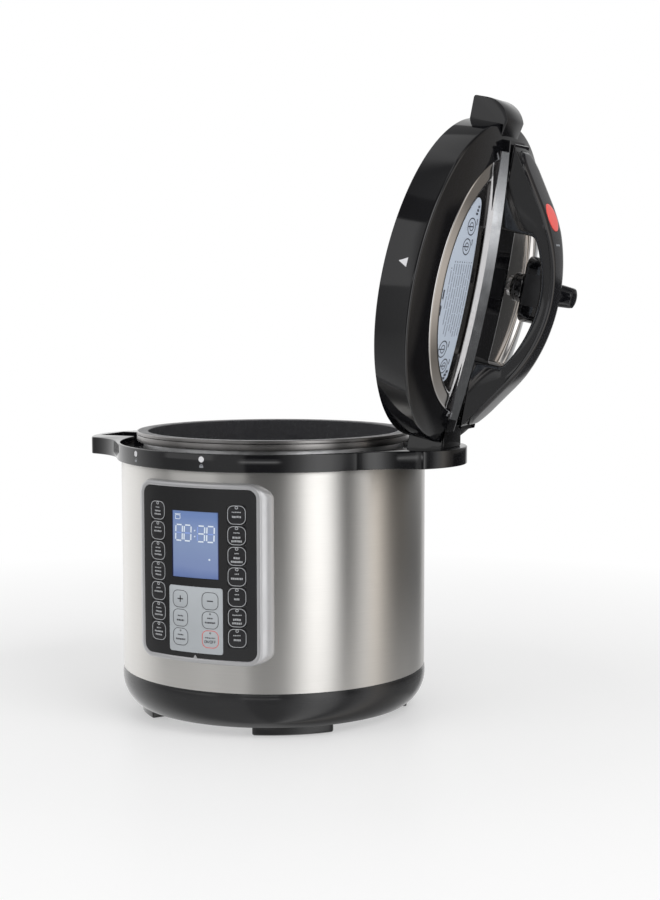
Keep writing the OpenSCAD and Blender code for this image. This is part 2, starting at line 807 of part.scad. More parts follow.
module lcd_module() {
    back_y = panel_y(0, panel_back_r) + lcd_depth;
    color([0.16, 0.45, 0.75]) place() {
        intersection() {
            translate([0, panel_cy, wrap_z0]) cylinder(r = panel_r - 2 * gap, h = wrap_h);
            slab(-panel_front - 1, back_y) lcd_outline(0);
        }
        intersection() {
            translate([0, panel_cy, wrap_z0]) cylinder(r = panel_back_r - gap, h = wrap_h);
            slab(-panel_front - 1, back_y) lcd_outline(lcd_frame);
        }
        for (sx = [-1, 1]) for (z = [lcd_z0 + 4, lcd_z0 + lcd_h - 4]) translate([sx * lcd_half_w, board_y - board_t, z])
            rotate([90, 0, 0]) cylinder(r = post_r, h = board_y - board_t - back_y + eps);
    }
}

// A key's cap follows the panel's curve; its stem stops short of its switch
module panel_key(k, w, h, proud) {
    a = k[0] * deg_per_mm;
    stem_end = panel_r - (panel_cy - tact_y) / cos(a) - stem_r * tan(abs(a)) - key_travel - key_gap;
    color([0.03, 0.03, 0.034]) place() {
        intersection() {
            translate([0, panel_cy, wrap_z0]) ring(panel_back_r, panel_r + proud, wrap_h);
            on_panel(k[0], k[1]) slab(-5, 8) key_outline(w, h, 0);
        }
        on_panel(k[0], k[1]) translate([0, stem_end, 0]) rotate([90, 0, 0]) cylinder(r = stem_r, h = stem_end - 1);
    }
}

// ---------- back ----------

module mains_inlet() {
    y1 = body_r + 2;
    color([0.05, 0.05, 0.05]) place() translate([0, 0, inlet_z]) {
        difference() {
            union() {
                translate([-inlet_w / 2, y1 - inlet_depth, -inlet_h / 2]) cube([inlet_w, inlet_depth, inlet_h]);
                translate([-inlet_w / 2 - inlet_flange, body_r, -inlet_h / 2 - inlet_flange])
                    cube([inlet_w + 2 * inlet_flange, y1 - body_r, inlet_h + 2 * inlet_flange]);
            }
            translate([-inlet_hole[0] / 2, y1 - inlet_hole[2], -inlet_hole[1] / 2]) cube([inlet_hole[0], inlet_hole[2] + 1, inlet_hole[1]]);
        }
        for (x = inlet_pins) translate([x - 1, y1 - inlet_hole[2] - 1, x == 0 ? 1 : -3]) cube([2, 11, 4]);
    }
}

// A bracket whose two rails carry the cup by its top flange; the cup slides straight back
module cup_bracket() {
    z0 = cup_z1 - cup_flange_t - bracket_rail_t - gap;
    z1 = cup_z1 + gap;
    x1 = cup_half_w + cup_flange + gap;
    color([0.04, 0.04, 0.04]) place() difference() {
        union() {
            translate([-x1 - cup_wall, body_r - 4, z0]) cube([2 * (x1 + cup_wall), cup_r1 - 3 - body_r + 4, z1 - z0 + bracket_roof]);
            translate([-x1 - cup_wall, body_r - 4, z0 - 10]) cube([2 * (x1 + cup_wall), cup_r0 - gap - body_r + 4, 11]);
        }
        cylinder(r = body_r + eps, h = collar_z0);
        translate([-x1, cup_r0 - gap, cup_z1 - cup_flange_t - gap]) cube([2 * x1, cup_r1, cup_flange_t + 2 * gap]);
        translate([-cup_half_w - gap, cup_r0 - gap, z0 - 1]) cube([2 * (cup_half_w + gap), cup_r1, z1 - z0 + 1 - eps]);
        translate([0, (cup_r0 + cup_r1) / 2 - 3, cup_z1 - 1]) cylinder(r = 2.5, h = 20);
    }
}

module condensate_cup() {
    y = cup_r1 - cup_r0;
    color([0.35, 0.36, 0.38, 0.6]) place() translate([0, cup_r0, cup_z1]) difference() {
        union() {
            translate([0, 0, -cup_h]) linear_extrude(cup_h) polygon(rounded(-cup_half_w, 0, cup_half_w, y, 5));
            translate([-cup_half_w - cup_flange, 0, -cup_flange_t]) cube([2 * (cup_half_w + cup_flange), y - 4, cup_flange_t]);
        }
        translate([0, 0, cup_wall - cup_h]) linear_extrude(cup_h)
            polygon(rounded(cup_wall - cup_half_w, cup_wall, cup_half_w - cup_wall, y - cup_wall, 4));
    }
}

// ---------- lid ----------

// Height of the steel lid's crown at a distance from its middle
function dome_z(r) = dome_top - dome_crown_r + sqrt(pow(dome_crown_r, 2) - pow(r, 2));
function crown_z(x) = bridge_top - bridge_crown_r + sqrt(pow(bridge_crown_r, 2) - pow(x, 2));
function arch_z(x, r) = arch_cz + sqrt(pow(r, 2) - pow(x, 2));

module cover_profile(t) {
    r = ridge_r - min(t, ridge_r - 0.4);
    polygon(concat(
        [[0, t > 0 ? -1 : 0], [lid_r - t, t > 0 ? -1 : 0]],
        arc([lid_r - ridge_r, skirt_h - ridge_r], r, 0, ridge_angle, 8),
        [[window_r, window_h - t], [0, window_h - t]]
    ));
}

// One window's plan: a D with rounded tips
module window_plan() {
    tip = 6;
    tip_y = bridge_foot_half_w + tip;
    tip_x = sqrt(pow(window_r - tip, 2) - pow(tip_y, 2));
    edge_y = tip_y * window_r / (window_r - tip);
    difference() {
        intersection() {
            circle(r = window_r);
            translate([-window_r, bridge_foot_half_w]) square([2 * window_r, window_r]);
        }
        for (s = [-1, 1]) difference() {
            translate([s > 0 ? tip_x : -tip_x - 15, bridge_foot_half_w - 1]) square([15, edge_y - bridge_foot_half_w + 1]);
            translate([s * tip_x, tip_y]) circle(r = tip);
        }
    }
}

// Upper edge of the bridge and its two ears, from the left end to the right, moved in by t
function bridge_edge(t) = let (
    top = arc([0, bridge_top - bridge_crown_r], bridge_crown_r - t,
        90 + asin(bridge_end_x / bridge_crown_r), 90 - asin(bridge_end_x / bridge_crown_r), 24)
) concat(
    arc([-ear_round_x, ear_round_h], ear_round - t, 180, 180 - ear_tangent, 10),
    top,
    arc([ear_round_x, ear_round_h], ear_round - t, ear_tangent, 0, 10)
);

module bridge_profile() {
    polygon(concat(
        [[-ear_inner_x, foot_z0], [-ear_inner_x, 0], [-ear_reach, 0]], bridge_edge(0),
        [[ear_reach, 0], [ear_inner_x, 0], [ear_inner_x, foot_z0]]
    ));
}

// Plan of the handle: straight sides with a waist at the grip
module handle_plan(end_x, round_ends) {
    mid = (grip_x0 + grip_x1) / 2;
    difference() {
        union() {
            translate([-end_x + (round_ends ? arch_half_w : 0), -arch_half_w])
                square([2 * (end_x - (round_ends ? arch_half_w : 0)), 2 * arch_half_w]);
            if (round_ends) for (s = [-1, 1]) translate([s * (end_x - arch_half_w), 0]) circle(r = arch_half_w);
        }
        for (s = [-1, 1]) translate([mid, s * (arch_waist_half_w + waist_r)]) circle(r = waist_r);
    }
}

function arch_edge(t) = concat(
    [[-arch_end_x, arch_run_h - tan(arch_slope) * (arch_end_x - arch_run_x) + t / cos(arch_slope)]],
    arc([0, arch_cz], arch_r + t, 90 + arch_slope, 90 - arch_slope, 24),
    [[arch_end_x, arch_run_h - tan(arch_slope) * (arch_end_x - arch_run_x) + t / cos(arch_slope)]]
);

module grip_opening() {
    r = arch_under_r - grip_round;
    x0 = grip_x0 + grip_round;
    x1 = grip_x1 - grip_round;
    z0 = arch_under_cz + sqrt(pow(r, 2) - pow(x0, 2));
    z1 = arch_under_cz + sqrt(pow(r, 2) - pow(x1, 2));
    a0 = 90 + asin(-x0 / r);
    a1 = 90 - asin(x1 / r);
    polygon(concat(
        [[grip_x1, bridge_top - 6], [grip_x0, bridge_top - 6]],
        arc([x0, z0], grip_round, 180, a0, 5),
        arc([0, arch_under_cz], arch_under_r, a0, a1, 20),
        arc([x1, z1], grip_round, a1, 0, 5)
    ));
}

// Crown of the bridge raised by gap, between x and -x
function seat_edge(x) = let (r = bridge_crown_r + gap, a = asin(x / r))
    arc([0, bridge_top - bridge_crown_r], r, 90 - a, 90 + a, 24);

// The handle's arch: it stands on the bridge and is held by the two lid screws
module handle_body() {
    color([0.02, 0.02, 0.022]) at_lid() difference() {
        intersection() {
            slab(-arch_half_w, arch_half_w) polygon(concat(arch_edge(0), seat_edge(arch_end_x)));
            translate([0, 0, bridge_end_h - 3]) linear_extrude(arch_top) handle_plan(arch_end_x, false);
        }
        slab(-arch_half_w - 1, arch_half_w + 1) grip_opening();
        pillar_hollows();
        lid_screw_bores();
        float_bores();
    }
}

// Hollows inside the two pillars
module pillar_hollows() {
    for (s = [[-cavity_half_x, grip_x0 - 4], [grip_x1 + 4, cavity_half_x]])
        translate([s[0], -pillar_hollow_w, foot_z0]) cube([s[1] - s[0], 2 * pillar_hollow_w, pillar_hollow_h]);
}

module lid_screw_bores() {
    for (s = [-1, 1]) translate([s * screw_x, 0, 0]) cylinder(r = screw_r, h = lid_screw_z1 + 2);
}

// The float's way through the handle
module float_bores() {
    translate([-indicator_x, 0, 0]) cylinder(r = float_r + gap, h = arch_top);
    translate([-indicator_x, 0, cap_z0 - gap]) cylinder(r = indicator_r + gap, h = arch_top);
}

// Room under the bridge
module bridge_room() {
    r = bridge_crown_r - cover_t;
    a = asin(cavity_half_x / r);
    slab(-cavity_half_w, cavity_half_w) polygon(concat(
        [[cavity_half_x, foot_z0 - 1], [-cavity_half_x, foot_z0 - 1]],
        arc([0, bridge_top - bridge_crown_r], r, 90 + a, 90 - a, 20)
    ));
}

module lid_cover() {
    color([0.02, 0.02, 0.022]) at_lid() difference() {
        union() {
            rotate_extrude() cover_profile(0);
            slab(-bridge_half_w, bridge_half_w) bridge_profile();
        }
        difference() {
            union() {
                rotate_extrude() cover_profile(cover_t);
                for (s = [0, 180]) rotate([0, 0, s]) translate([0, 0, foot_z0 - 10]) linear_extrude(20) window_plan();
                bridge_room();
            }
            // bosses for the two lid screws
            for (s = [-1, 1]) translate([s * screw_x, 0, dome_z(screw_x) + gap]) cylinder(r = boss_r, h = 30);
        }
        dome_solid(gap);
        lid_screw_bores();
        // hollow ears
        for (s = [0, 180]) rotate([0, 0, s]) slab(-cavity_half_w, cavity_half_w) polygon(concat(
            [[lid_r + 2, -1], [ear_reach - cover_t, -1]],
            arc([ear_round_x, ear_round_h], ear_round - cover_t, 0, ear_tangent - 12, 8),
            [[lid_r + 2, ear_round_h + ear_round - cover_t - 2]]
        ));
        float_bores();
    }
}

// The steel lid's outside as a solid, grown by g
module dome_solid(g) {
    intersection() {
        translate([0, 0, dome_top - dome_crown_r]) sphere(r = dome_crown_r + g);
        rotate_extrude() dome_profile(g, 12);
    }
}

module dome_profile(g, extra) {
    round_x = dome_r - dome_round;
    polygon(concat(
        [[0, -dome_drop], [dome_r + g, -dome_drop], [dome_r + g, dome_wall_h]],
        arc([round_x, dome_wall_h], dome_round + g, 0, 90, 8),
        [[dome_shelf_r, dome_shelf_h + g], [dome_step_r, dome_step_h + g], [dome_step_r, dome_step_h + extra], [0, dome_step_h + extra]]
    ));
}

module lid_dome() {
    color([0.7, 0.7, 0.7]) at_lid() {
        difference() {
            dome_solid(0);
            translate([0, 0, dome_top - dome_crown_r]) intersection() {
                sphere(r = dome_crown_r - dome_t);
                translate([0, 0, dome_crown_r - dome_top - 10]) cylinder(r = dome_step_r - 1, h = 80);
            }
            rotate_extrude() polygon(concat(
                [[0, -dome_drop - 1], [dome_r - dome_t, -dome_drop - 1], [dome_r - dome_t, dome_wall_h]],
                arc([dome_r - dome_round, dome_wall_h], dome_round - dome_t, 0, 90, 8),
                [[dome_shelf_r, dome_shelf_h - dome_t], [dome_step_r - 2, dome_step_h - dome_t - 0.6], [0, dome_step_h - dome_t - 0.6]]
            ));
            translate([-indicator_x, 0, 0]) cylinder(r = float_r + gap, h = 60);
            translate([valve_x, valve_y, 0]) cylinder(r = vent_r, h = 60);
            for (s = [-1, 1]) translate([s * screw_x, 0, stud_z0]) cylinder(r = screw_r, h = 60);
        }
        // locking teeth around the mouth
        for (i = [0:tooth_count - 1]) rotate([0, 0, i * 360 / tooth_count + 90])
            translate([0, 0, -dome_drop]) sector(tooth_r, dome_r - dome_t / 2, tooth_t, tooth_span);
        // stud that carries the inner plate
        difference() {
            translate([0, 0, stud_z0]) cylinder(r = stud_r, h = dome_top - dome_t / 2 - stud_z0);
            translate([0, 0, stud_z0 - 1]) cylinder(r = screw_r, h = 6);
        }
    }
}

module lid_label() {
    color([0.62, 0.78, 0.88]) at_lid() intersection() {
        translate([0, 0, dome_top - dome_crown_r]) difference() {
            sphere(r = dome_crown_r + label_seat + label_t);
            sphere(r = dome_crown_r + label_seat);
        }
        translate([0, 0, foot_z0]) linear_extrude(10) intersection() {
            circle(r = label_r);
            translate([-label_r, -label_r]) square([2 * label_r, label_r - label_y]);
        }
    }
}

module handle_cover() {
    color([0.03, 0.03, 0.033]) at_lid() difference() {
        intersection() {
            slab(-arch_half_w, arch_half_w) polygon(concat(
                arch_edge(strip_t), [for (i = [len(arch_edge(0)) - 1:-1:0]) arch_edge(0)[i]]));
            translate([0, 0, foot_z0]) linear_extrude(arch_top) handle_plan(strip_end_x, true);
        }
        translate([-indicator_x, 0, 0]) cylinder(r = indicator_r + gap, h = 2 * arch_top);
    }
}

module pressure_indicator() {
    color([0.85, 0.2, 0.18]) at_lid() translate([-indicator_x, 0, 0]) {
        intersection() {
            translate([0, 0, cap_z0]) cylinder(r = indicator_r, h = 40);
            translate([indicator_x, 0, 0]) slab(-indicator_r, indicator_r) translate([0, arch_cz]) circle(r = arch_r + strip_t + cap_proud);
        }
        translate([0, 0, float_z0]) cylinder(r = float_r, h = cap_z0 - float_z0 + eps);
        translate([0, 0, float_z0 - float_flange_t]) cylinder(r = float_flange_r, h = float_flange_t + eps);
    }
}

module float_seal() {
    color([0.8, 0.35, 0.25]) at_lid() translate([-indicator_x, 0, float_z0 + gap / 2])
        ring(float_r + gap, float_flange_r - 0.6, float_flange_t);
}

module sealing_ring() {
    color([0.85, 0.85, 0.83]) at_lid() rotate_extrude() difference() {
        translate([seal_r0, seal_z0]) square([seal_r1 - seal_r0, seal_h]);
        translate([seal_r0 - 1, rack_z0 - 0.1]) square([rack_r - seal_r0 + 1.1, rack_t + 0.2]);
        translate([seal_r0 + 3, seal_z0 - 1]) square([seal_r1 - seal_r0 - 6, 2.6]);
    }
}

module seal_rack() {
    color([0.75, 0.75, 0.76]) at_lid() difference() {
        translate([0, 0, rack_z0]) cylinder(r = rack_r, h = rack_t);
        translate([0, 0, rack_z0 - 1]) cylinder(r = stud_r + 0.1, h = 3);
        for (i = [0:rack_holes - 1]) rotate([0, 0, i * 360 / rack_holes + 15])
            translate([rack_r - 30, 0, rack_z0 - 1]) cylinder(r = 6, h = 3);
    }
}

module rack_nut() {
    color([0.3, 0.3, 0.3]) at_lid() difference() {
        translate([0, 0, rack_z0 - 6]) cylinder(r = 11, h = 6);
        translate([0, 0, rack_z0 - 7]) cylinder(r = stud_r + 0.1, h = 8);
    }
}

module vent_pipe() {
    z0 = dome_z(valve_y) - dome_t;
    color([0.7, 0.7, 0.7]) at_lid() translate([valve_x, valve_y, 0]) difference() {
        union() {
            translate([0, 0, z0 - 12]) cylinder(r = vent_r, h = 24);
            translate([0, 0, z0 - 4]) cylinder(r = vent_r + 3, h = 3);
            translate([0, 0, dome_top + 0.4]) cylinder(r = vent_r + 4, h = 3);
        }
        translate([0, 0, z0 - 13]) cylinder(r = vent_bore_r, h = 26);
    }
}

module steam_valve() {
    z0 = dome_top + 0.4 + 3 + gap;
    color([0.02, 0.02, 0.022]) at_lid() translate([valve_x, valve_y, 0]) difference() {
        union() {
            translate([0, 0, z0]) cylinder(r = valve_r, h = valve_body_z - z0);
            translate([0, 0, valve_body_z - eps]) linear_extrude(valve_lever_h) union() {
                square([2 * valve_lever_x - 2 * valve_lever_r, 2 * valve_lever_r], center = true);
                for (s = [-1, 1]) translate([s * (valve_lever_x - valve_lever_r), 0]) circle(r = valve_lever_r);
            }
            translate([0, 0, valve_body_z + valve_lever_h - 2 * eps]) cylinder(r1 = valve_lever_r, r2 = valve_lever_r - 3, h = valve_top - valve_body_z - valve_lever_h);
        }
        translate([0, 0, z0 - 1]) cylinder(r = vent_r + 0.08, h = 12);
    }
}

module anti_block_cap() {
    z1 = dome_z(valve_y) - dome_t - 5;
    color([0.7, 0.7, 0.7]) at_lid() translate([valve_x, valve_y, 0]) difference() {
        translate([0, 0, z1 - 14]) cylinder(r = 11, h = 14);
        translate([0, 0, z1 - 12.8]) cylinder(r = 9.8, h = 12.8 - 1.2);
        translate([0, 0, z1 - 2]) cylinder(r = vent_r + 0.1, h = 3);
        for (a = [0:45:315]) rotate([0, 0, a]) translate([6, -1.2, z1 - 11]) cube([8, 2.4, 7]);
    }
}

module lock_slider() {
    color([0.5, 0.5, 0.52]) at_lid() translate([-indicator_x + 14, 0, dome_top + gap + 0.4]) difference() {
        translate([0, -5, 0]) cube([34, 10, 2]);
        translate([8, 0, -1]) cylinder(r = 2.4, h = 4);
    }
}

module lid_screws() {
    color([0.6, 0.6, 0.6]) at_lid() for (s = [-1, 1]) translate([s * screw_x, 0, 0]) {
        z0 = dome_z(screw_x + screw_head_r) - dome_t - eps;
        translate([0, 0, z0 - 2]) cylinder(r = screw_head_r, h = 2);
        translate([0, 0, z0 - 2]) cylinder(r = screw_r - 0.05, h = lid_screw_z1 - z0 + 2);
    }
}

base_ring();
bottom_plate();
feet();
base_screws();
body_wrap();
collar();
outer_pot();
inner_pot();
support_frame();
heating_plate();
heating_tube();
sensor_button();
sensor_spring();
thermal_fuse();
pressure_switch();
power_board();
control_board();
panel_bezel();
panel_cover();
panel_pad();
lcd_module();
mains_inlet();
cup_bracket();
condensate_cup();
lid_cover();
handle_body();
lid_dome();
lid_label();
handle_cover();
pressure_indicator();
float_seal();
sealing_ring();
seal_rack();
rack_nut();
vent_pipe();
steam_valve();
anti_block_cap();
lock_slider();
lid_screws();
for (i = [1:key_rows]) panel_key(side_keys[i - 1], key_w, key_h, 0);
for (i = [1:key_rows]) panel_key(side_keys[key_rows + i - 1], key_w, key_h, 0);
for (i = [1:6]) panel_key(pad_keys[i - 1], pad_key_w, pad_key_h, pad_proud);
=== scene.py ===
import math

import bmesh
import bpy
import numpy as np
from mathutils import Matrix, Vector


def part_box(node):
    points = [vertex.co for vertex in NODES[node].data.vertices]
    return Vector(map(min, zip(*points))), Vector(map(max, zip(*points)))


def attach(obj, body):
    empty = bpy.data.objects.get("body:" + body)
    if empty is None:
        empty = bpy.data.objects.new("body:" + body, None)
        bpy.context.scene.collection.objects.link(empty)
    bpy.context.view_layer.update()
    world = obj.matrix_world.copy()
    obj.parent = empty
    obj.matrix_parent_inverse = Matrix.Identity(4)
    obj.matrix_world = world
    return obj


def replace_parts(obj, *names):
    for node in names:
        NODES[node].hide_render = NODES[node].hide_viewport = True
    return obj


MM = 0.001
PI = math.pi

# ---------------------------------------------------------------- camera
AXIS = (-44.745, -10.0)  # the pot's axis in the frame, mm
TURN = math.radians(28.3)  # how far right of the panel the camera stands
CAM_D, CAM_H = 1602.17, 391.1
PAN, PITCH, ROLL = 0.033135, 0.093456, -0.001423
to_pot = Vector((-math.sin(TURN), math.cos(TURN), 0))
side = Vector((math.cos(TURN), math.sin(TURN), 0))
fwd = (side * math.sin(PAN) + to_pot * math.cos(PAN)) * math.cos(PITCH) - Vector((0, 0, math.sin(PITCH)))
right = side * math.cos(PAN) - to_pot * math.sin(PAN)
up = right.cross(fwd)
right, up = right * math.cos(ROLL) + up * math.sin(ROLL), up * math.cos(ROLL) - right * math.sin(ROLL)
cam_data = bpy.data.cameras.new("camera")
cam_data.sensor_width = 36
cam_data.lens = 68.42
cam_data.clip_end = 30
cam = bpy.data.objects.new("camera", cam_data)
bpy.context.scene.collection.objects.link(cam)
place = Vector((AXIS[0], AXIS[1], 0)) - to_pot * CAM_D + Vector((0, 0, CAM_H))
cam.matrix_world = Matrix.Translation(place * MM) @ Matrix((right, up, -fwd)).transposed().to_4x4()
bpy.context.scene.camera = cam

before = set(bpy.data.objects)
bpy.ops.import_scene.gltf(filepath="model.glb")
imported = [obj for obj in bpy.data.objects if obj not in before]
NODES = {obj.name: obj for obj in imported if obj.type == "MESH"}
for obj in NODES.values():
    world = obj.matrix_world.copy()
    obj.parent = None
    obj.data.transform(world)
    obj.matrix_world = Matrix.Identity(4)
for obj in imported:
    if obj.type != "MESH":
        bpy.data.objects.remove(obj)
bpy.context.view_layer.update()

# ---------------------------------------------------------------- frame values, mm
lo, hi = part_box("body_wrap")
PX, PY = (lo.x + hi.x) / 2 / MM, (lo.y + hi.y) / 2 / MM
BODY_R = (hi.x - lo.x) / 2 / MM
WRAP_Z0 = lo.z / MM
COLLAR_Z1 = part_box("collar")[1].z / MM
COLLAR_Z0 = COLLAR_Z1 - 15.7
COLLAR_R, COLLAR_IN = 146.0, 143.2
RIM_Z1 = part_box("inner_pot")[1].z / MM
PANEL_R = 188.0
PANEL_CY = PANEL_R - 145.7  # how far behind the pot's axis the panel's curve has its centre

# the lid's bridge ends in two rounded ears, and one of them stands in a side handle's slot
EAR_X, EAR_R, EAR_CX, EAR_CH = 161, 24, 137, 12
SLOT_FLOOR, SLOT_PLAY = 4.7, 0.45
LEAN = math.radians(11.5)
LID_X = PX + COLLAR_IN + SLOT_PLAY + EAR_X * math.sin(LEAN)
LID_Z = COLLAR_Z0 + SLOT_FLOOR + EAR_CX * math.cos(LEAN) + EAR_CH * math.sin(LEAN) + EAR_R


def at_pot(p):
    """Coordinates about the pot's axis to the frame."""
    return (p[0] + PX, p[1] + PY, p[2])


def at_lid(p):
    """Lid coordinates (along the handle, across it, height) to the frame."""
    x, y, h = p
    s, c = math.sin(LEAN), math.cos(LEAN)
    return (LID_X - x * s + h * c, PY + y, LID_Z - x * c - h * s)


def at_panel(p):
    """Panel coordinates (arc across, depth outwards, height) to the frame."""
    s, d, z = p
    a = s / PANEL_R
    r = PANEL_R + d
    return (PX + r * math.sin(a), PY + PANEL_CY - r * math.cos(a), z)


# ---------------------------------------------------------------- materials
def fill(nt, n, ins):
    """Sets a node's inputs, each to a value or to another node's output."""
    for k, v in dict(ins).items():
        if isinstance(v, bpy.types.NodeSocket):
            nt.links.new(v, n.inputs[k])
        else:
            n.inputs[k].default_value = v


def node(nt, kind, ins=(), **props):
    """A new shader node with its properties and inputs set."""
    n = nt.nodes.new(kind)
    for k, v in props.items():
        setattr(n, k, v)
    fill(nt, n, ins)
    return n


def calc(nt, op, *args):
    """A math node's result."""
    return node(nt, "ShaderNodeMath", enumerate(args), operation=op).outputs[0]


def mix_colour(nt, a, b, fac):
    """Between two colours; the first may come from another node."""
    ins = {0: fac, 6: a if isinstance(a, bpy.types.NodeSocket) else (*a, 1), 7: (*b, 1)}
    return node(nt, "ShaderNodeMix", ins, data_type="RGBA").outputs[2]


def noise(nt, scale, stretch=(1, 1, 1), detail=3.0, offset=(0, 0, 0)):
    """Noise over the object's own coordinates."""
    ins = {"Vector": node(nt, "ShaderNodeTexCoord").outputs["Object"], "Location": offset, "Scale": stretch}
    place = node(nt, "ShaderNodeMapping", ins).outputs[0]
    return node(nt, "ShaderNodeTexNoise", {"Vector": place, "Scale": scale, "Detail": detail}).outputs["Fac"]


def ranged(nt, fac, lo, hi, a=0.3, b=0.7, **props):
    """A value between a and b, moved to between lo and hi."""
    ins = {"Value": fac, "From Min": a, "From Max": b, "To Min": lo, "To Max": hi}
    return node(nt, "ShaderNodeMapRange", ins, **props).outputs[0]


def coloured_ramp(nt, fac, stops):
    """A colour for each place from 0 to 1."""
    ramp = node(nt, "ShaderNodeValToRGB", {0: fac})
    while len(ramp.color_ramp.elements) < len(stops):
        ramp.color_ramp.elements.new(0.5)
    for e, (at, colour) in zip(ramp.color_ramp.elements, stops):
        e.position, e.color = at, (*colour, 1)
    return ramp.outputs[0]


COAT_ROUGH = 0.05
RELIEF = 0.0002  # depth of every bump, m


def material(name, col, rough=0.3, metal=0.0, vary=0.06, scale=40, stretch=(1, 1, 1), rvary=0.05, bump=0.0,
             bscale=600, coat=0.0, spec=0.5, aniso=0.0, turn=0.0, alpha=1.0, emit=0.0, speck=None):
    """A procedural finish: colour, roughness and relief all vary with noise at the given scales."""
    m = bpy.data.materials.new(name)
    m.use_nodes = True
    nt = m.node_tree
    bs = nt.nodes["Principled BSDF"]
    dim, bright = [c * (1 - vary) for c in col], [min(1, c * (1 + vary)) for c in col]
    out = mix_colour(nt, dim, bright, noise(nt, scale, stretch))
    if speck:
        size, colour, edge = speck
        out = mix_colour(nt, out, colour, ranged(nt, noise(nt, size, detail=1.0), 0, 1, edge, edge + 0.05))
    wear = ranged(nt, noise(nt, scale * 1.7, stretch, offset=(3, 1, 2)), max(0.02, rough - rvary), rough + rvary)
    fill(nt, bs, {"Base Color": out, "Roughness": wear, "Metallic": metal, "Specular IOR Level": spec, "Alpha": alpha,
                  "Coat Weight": coat, "Coat Roughness": COAT_ROUGH, "Anisotropic": aniso,
                  "Anisotropic Rotation": turn})
    if emit:
        fill(nt, bs, {"Emission Color": out, "Emission Strength": emit})
    if bump:
        relief = {"Strength": bump, "Distance": RELIEF, "Height": noise(nt, bscale, stretch, 2.0)}
        fill(nt, bs, {"Normal": node(nt, "ShaderNodeBump", relief).outputs[0]})
    return m


M, SLOT = {}, {}


def finish(key, slot, *args, **more):
    """A material under a short key, with the slot that it fills."""
    M[key], SLOT[key] = material(*args, **more), slot


AROUND = (0.02, 0.02, 1)  # noise stretched around the body
finish("gloss", "black_gloss", "black_gloss", (0.005, 0.005, 0.006), 0.07, rvary=0.02, scale=30, bump=0.02, bscale=60,
       spec=0.7)
finish("gloss2", "black_gloss", "black_gloss_soft", (0.007, 0.007, 0.009), 0.17, scale=30, bump=0.05, bscale=200)
finish("strip", "black_gloss", "handle_gloss", (0.008, 0.008, 0.010), 0.08, rvary=0.03, scale=30, bump=0.03,
       bscale=90, spec=0.8)
finish("base", "black_gloss", "base_gloss", (0.010, 0.010, 0.011), 0.15, rvary=0.04, scale=30, bump=0.04, bscale=160,
       spec=0.6)
finish("trim", "black_gloss", "bridge_trim", (0.58, 0.59, 0.61), 0.13, 1.0, vary=0.05, rvary=0.03, scale=60,
       bump=0.02, bscale=300)
finish("matte", "black_matte", "black_matte", (0.026, 0.026, 0.028), 0.38, rvary=0.06, bump=0.12, bscale=1400)
finish("dark", "black_matte", "dark_inside", (0.006, 0.006, 0.007), 0.5, vary=0.1, scale=60)
finish("steel", "shell_steel", "brushed_steel", (0.72, 0.705, 0.68), 0.33, 1.0, vary=0.035, scale=1500,
       stretch=AROUND, rvary=0.02, bump=0.025, bscale=4000, aniso=0.98, turn=0.25)
finish("mirror", "lid_steel", "polished_steel", (0.62, 0.60, 0.585), 0.12, 1.0, vary=0.03, scale=50, rvary=0.03,
       bump=0.03, bscale=120)
finish("rim", "aluminium", "rim_steel", (0.30, 0.29, 0.285), 0.3, 1.0, vary=0.1, scale=900, stretch=AROUND,
       bump=0.1, bscale=3000, aniso=0.8, turn=0.25)
finish("alu", "aluminium", "cast_aluminium", (0.60, 0.60, 0.61), 0.36, 1.0, vary=0.07, scale=70, rvary=0.08,
       bump=0.2, bscale=500)
finish("coating", "pot_coating", "pot_coating", (0.06, 0.06, 0.065), 0.4, vary=0.1, scale=90, rvary=0.08, bump=0.25,
       bscale=1100, speck=(2200, (0.22, 0.22, 0.235), 0.60))
finish("zinc", "zinc_steel", "zinc_steel", (0.52, 0.52, 0.53), 0.3, 1.0, vary=0.1, scale=90, rvary=0.08, bump=0.1,
       bscale=700)
finish("brass", "zinc_steel", "pin_brass", (0.65, 0.55, 0.32), 0.28, 1.0, vary=0.08, scale=200)
finish("silver", "silver_plastic", "silver_plastic", (0.56, 0.56, 0.57), 0.34, 0.7, vary=0.03, scale=60, bump=0.012,
       bscale=900)
finish("line", "silver_plastic", "key_outline", (0.55, 0.56, 0.58), 0.35, 0.5, vary=0.05, scale=100)
finish("pad", "pad_plastic", "pad_plastic", (0.50, 0.53, 0.555), 0.4, 0.25, vary=0.02, scale=60, bump=0.05,
       bscale=1600)
finish("key", "key_plastic", "key_plastic", (0.012, 0.012, 0.014), 0.22, vary=0.1, scale=60, bump=0.03, bscale=600)
finish("print", "ceramic", "white_print", (0.72, 0.72, 0.74), 0.45, vary=0.04, scale=200)
finish("grey_print", "ceramic", "grey_print", (0.24, 0.25, 0.27), 0.45, vary=0.04, scale=200)
finish("ceramic", "ceramic", "ceramic", (0.68, 0.65, 0.58), 0.55, vary=0.06, scale=90, bump=0.1, bscale=900)
# the red cap's emission is a painted glow: the plastic cap gives no light of its own
finish("red", "red_plastic", "red_cap", (0.80, 0.10, 0.085), 0.32, vary=0.05, scale=60, coat=0.3, emit=0.12)
finish("red_line", "red_plastic", "red_print", (0.75, 0.06, 0.05), 0.4, vary=0.05, scale=90)
finish("label", "label_film", "label_film", (0.52, 0.585, 0.68), 0.4, vary=0.03, scale=60, coat=0.2)
finish("ink", "black_matte", "label_ink", (0.05, 0.055, 0.075), 0.5, vary=0.1, scale=200)
finish("label_text", "black_matte", "label_text", (0.24, 0.27, 0.33), 0.5, vary=0.1, scale=200)
finish("pad_ink", "black_matte", "pad_ink", (0.035, 0.035, 0.04), 0.45, vary=0.1)
finish("rubber", "silicone", "silicone", (0.62, 0.62, 0.60), 0.5, vary=0.04, scale=60, bump=0.1, bscale=900)
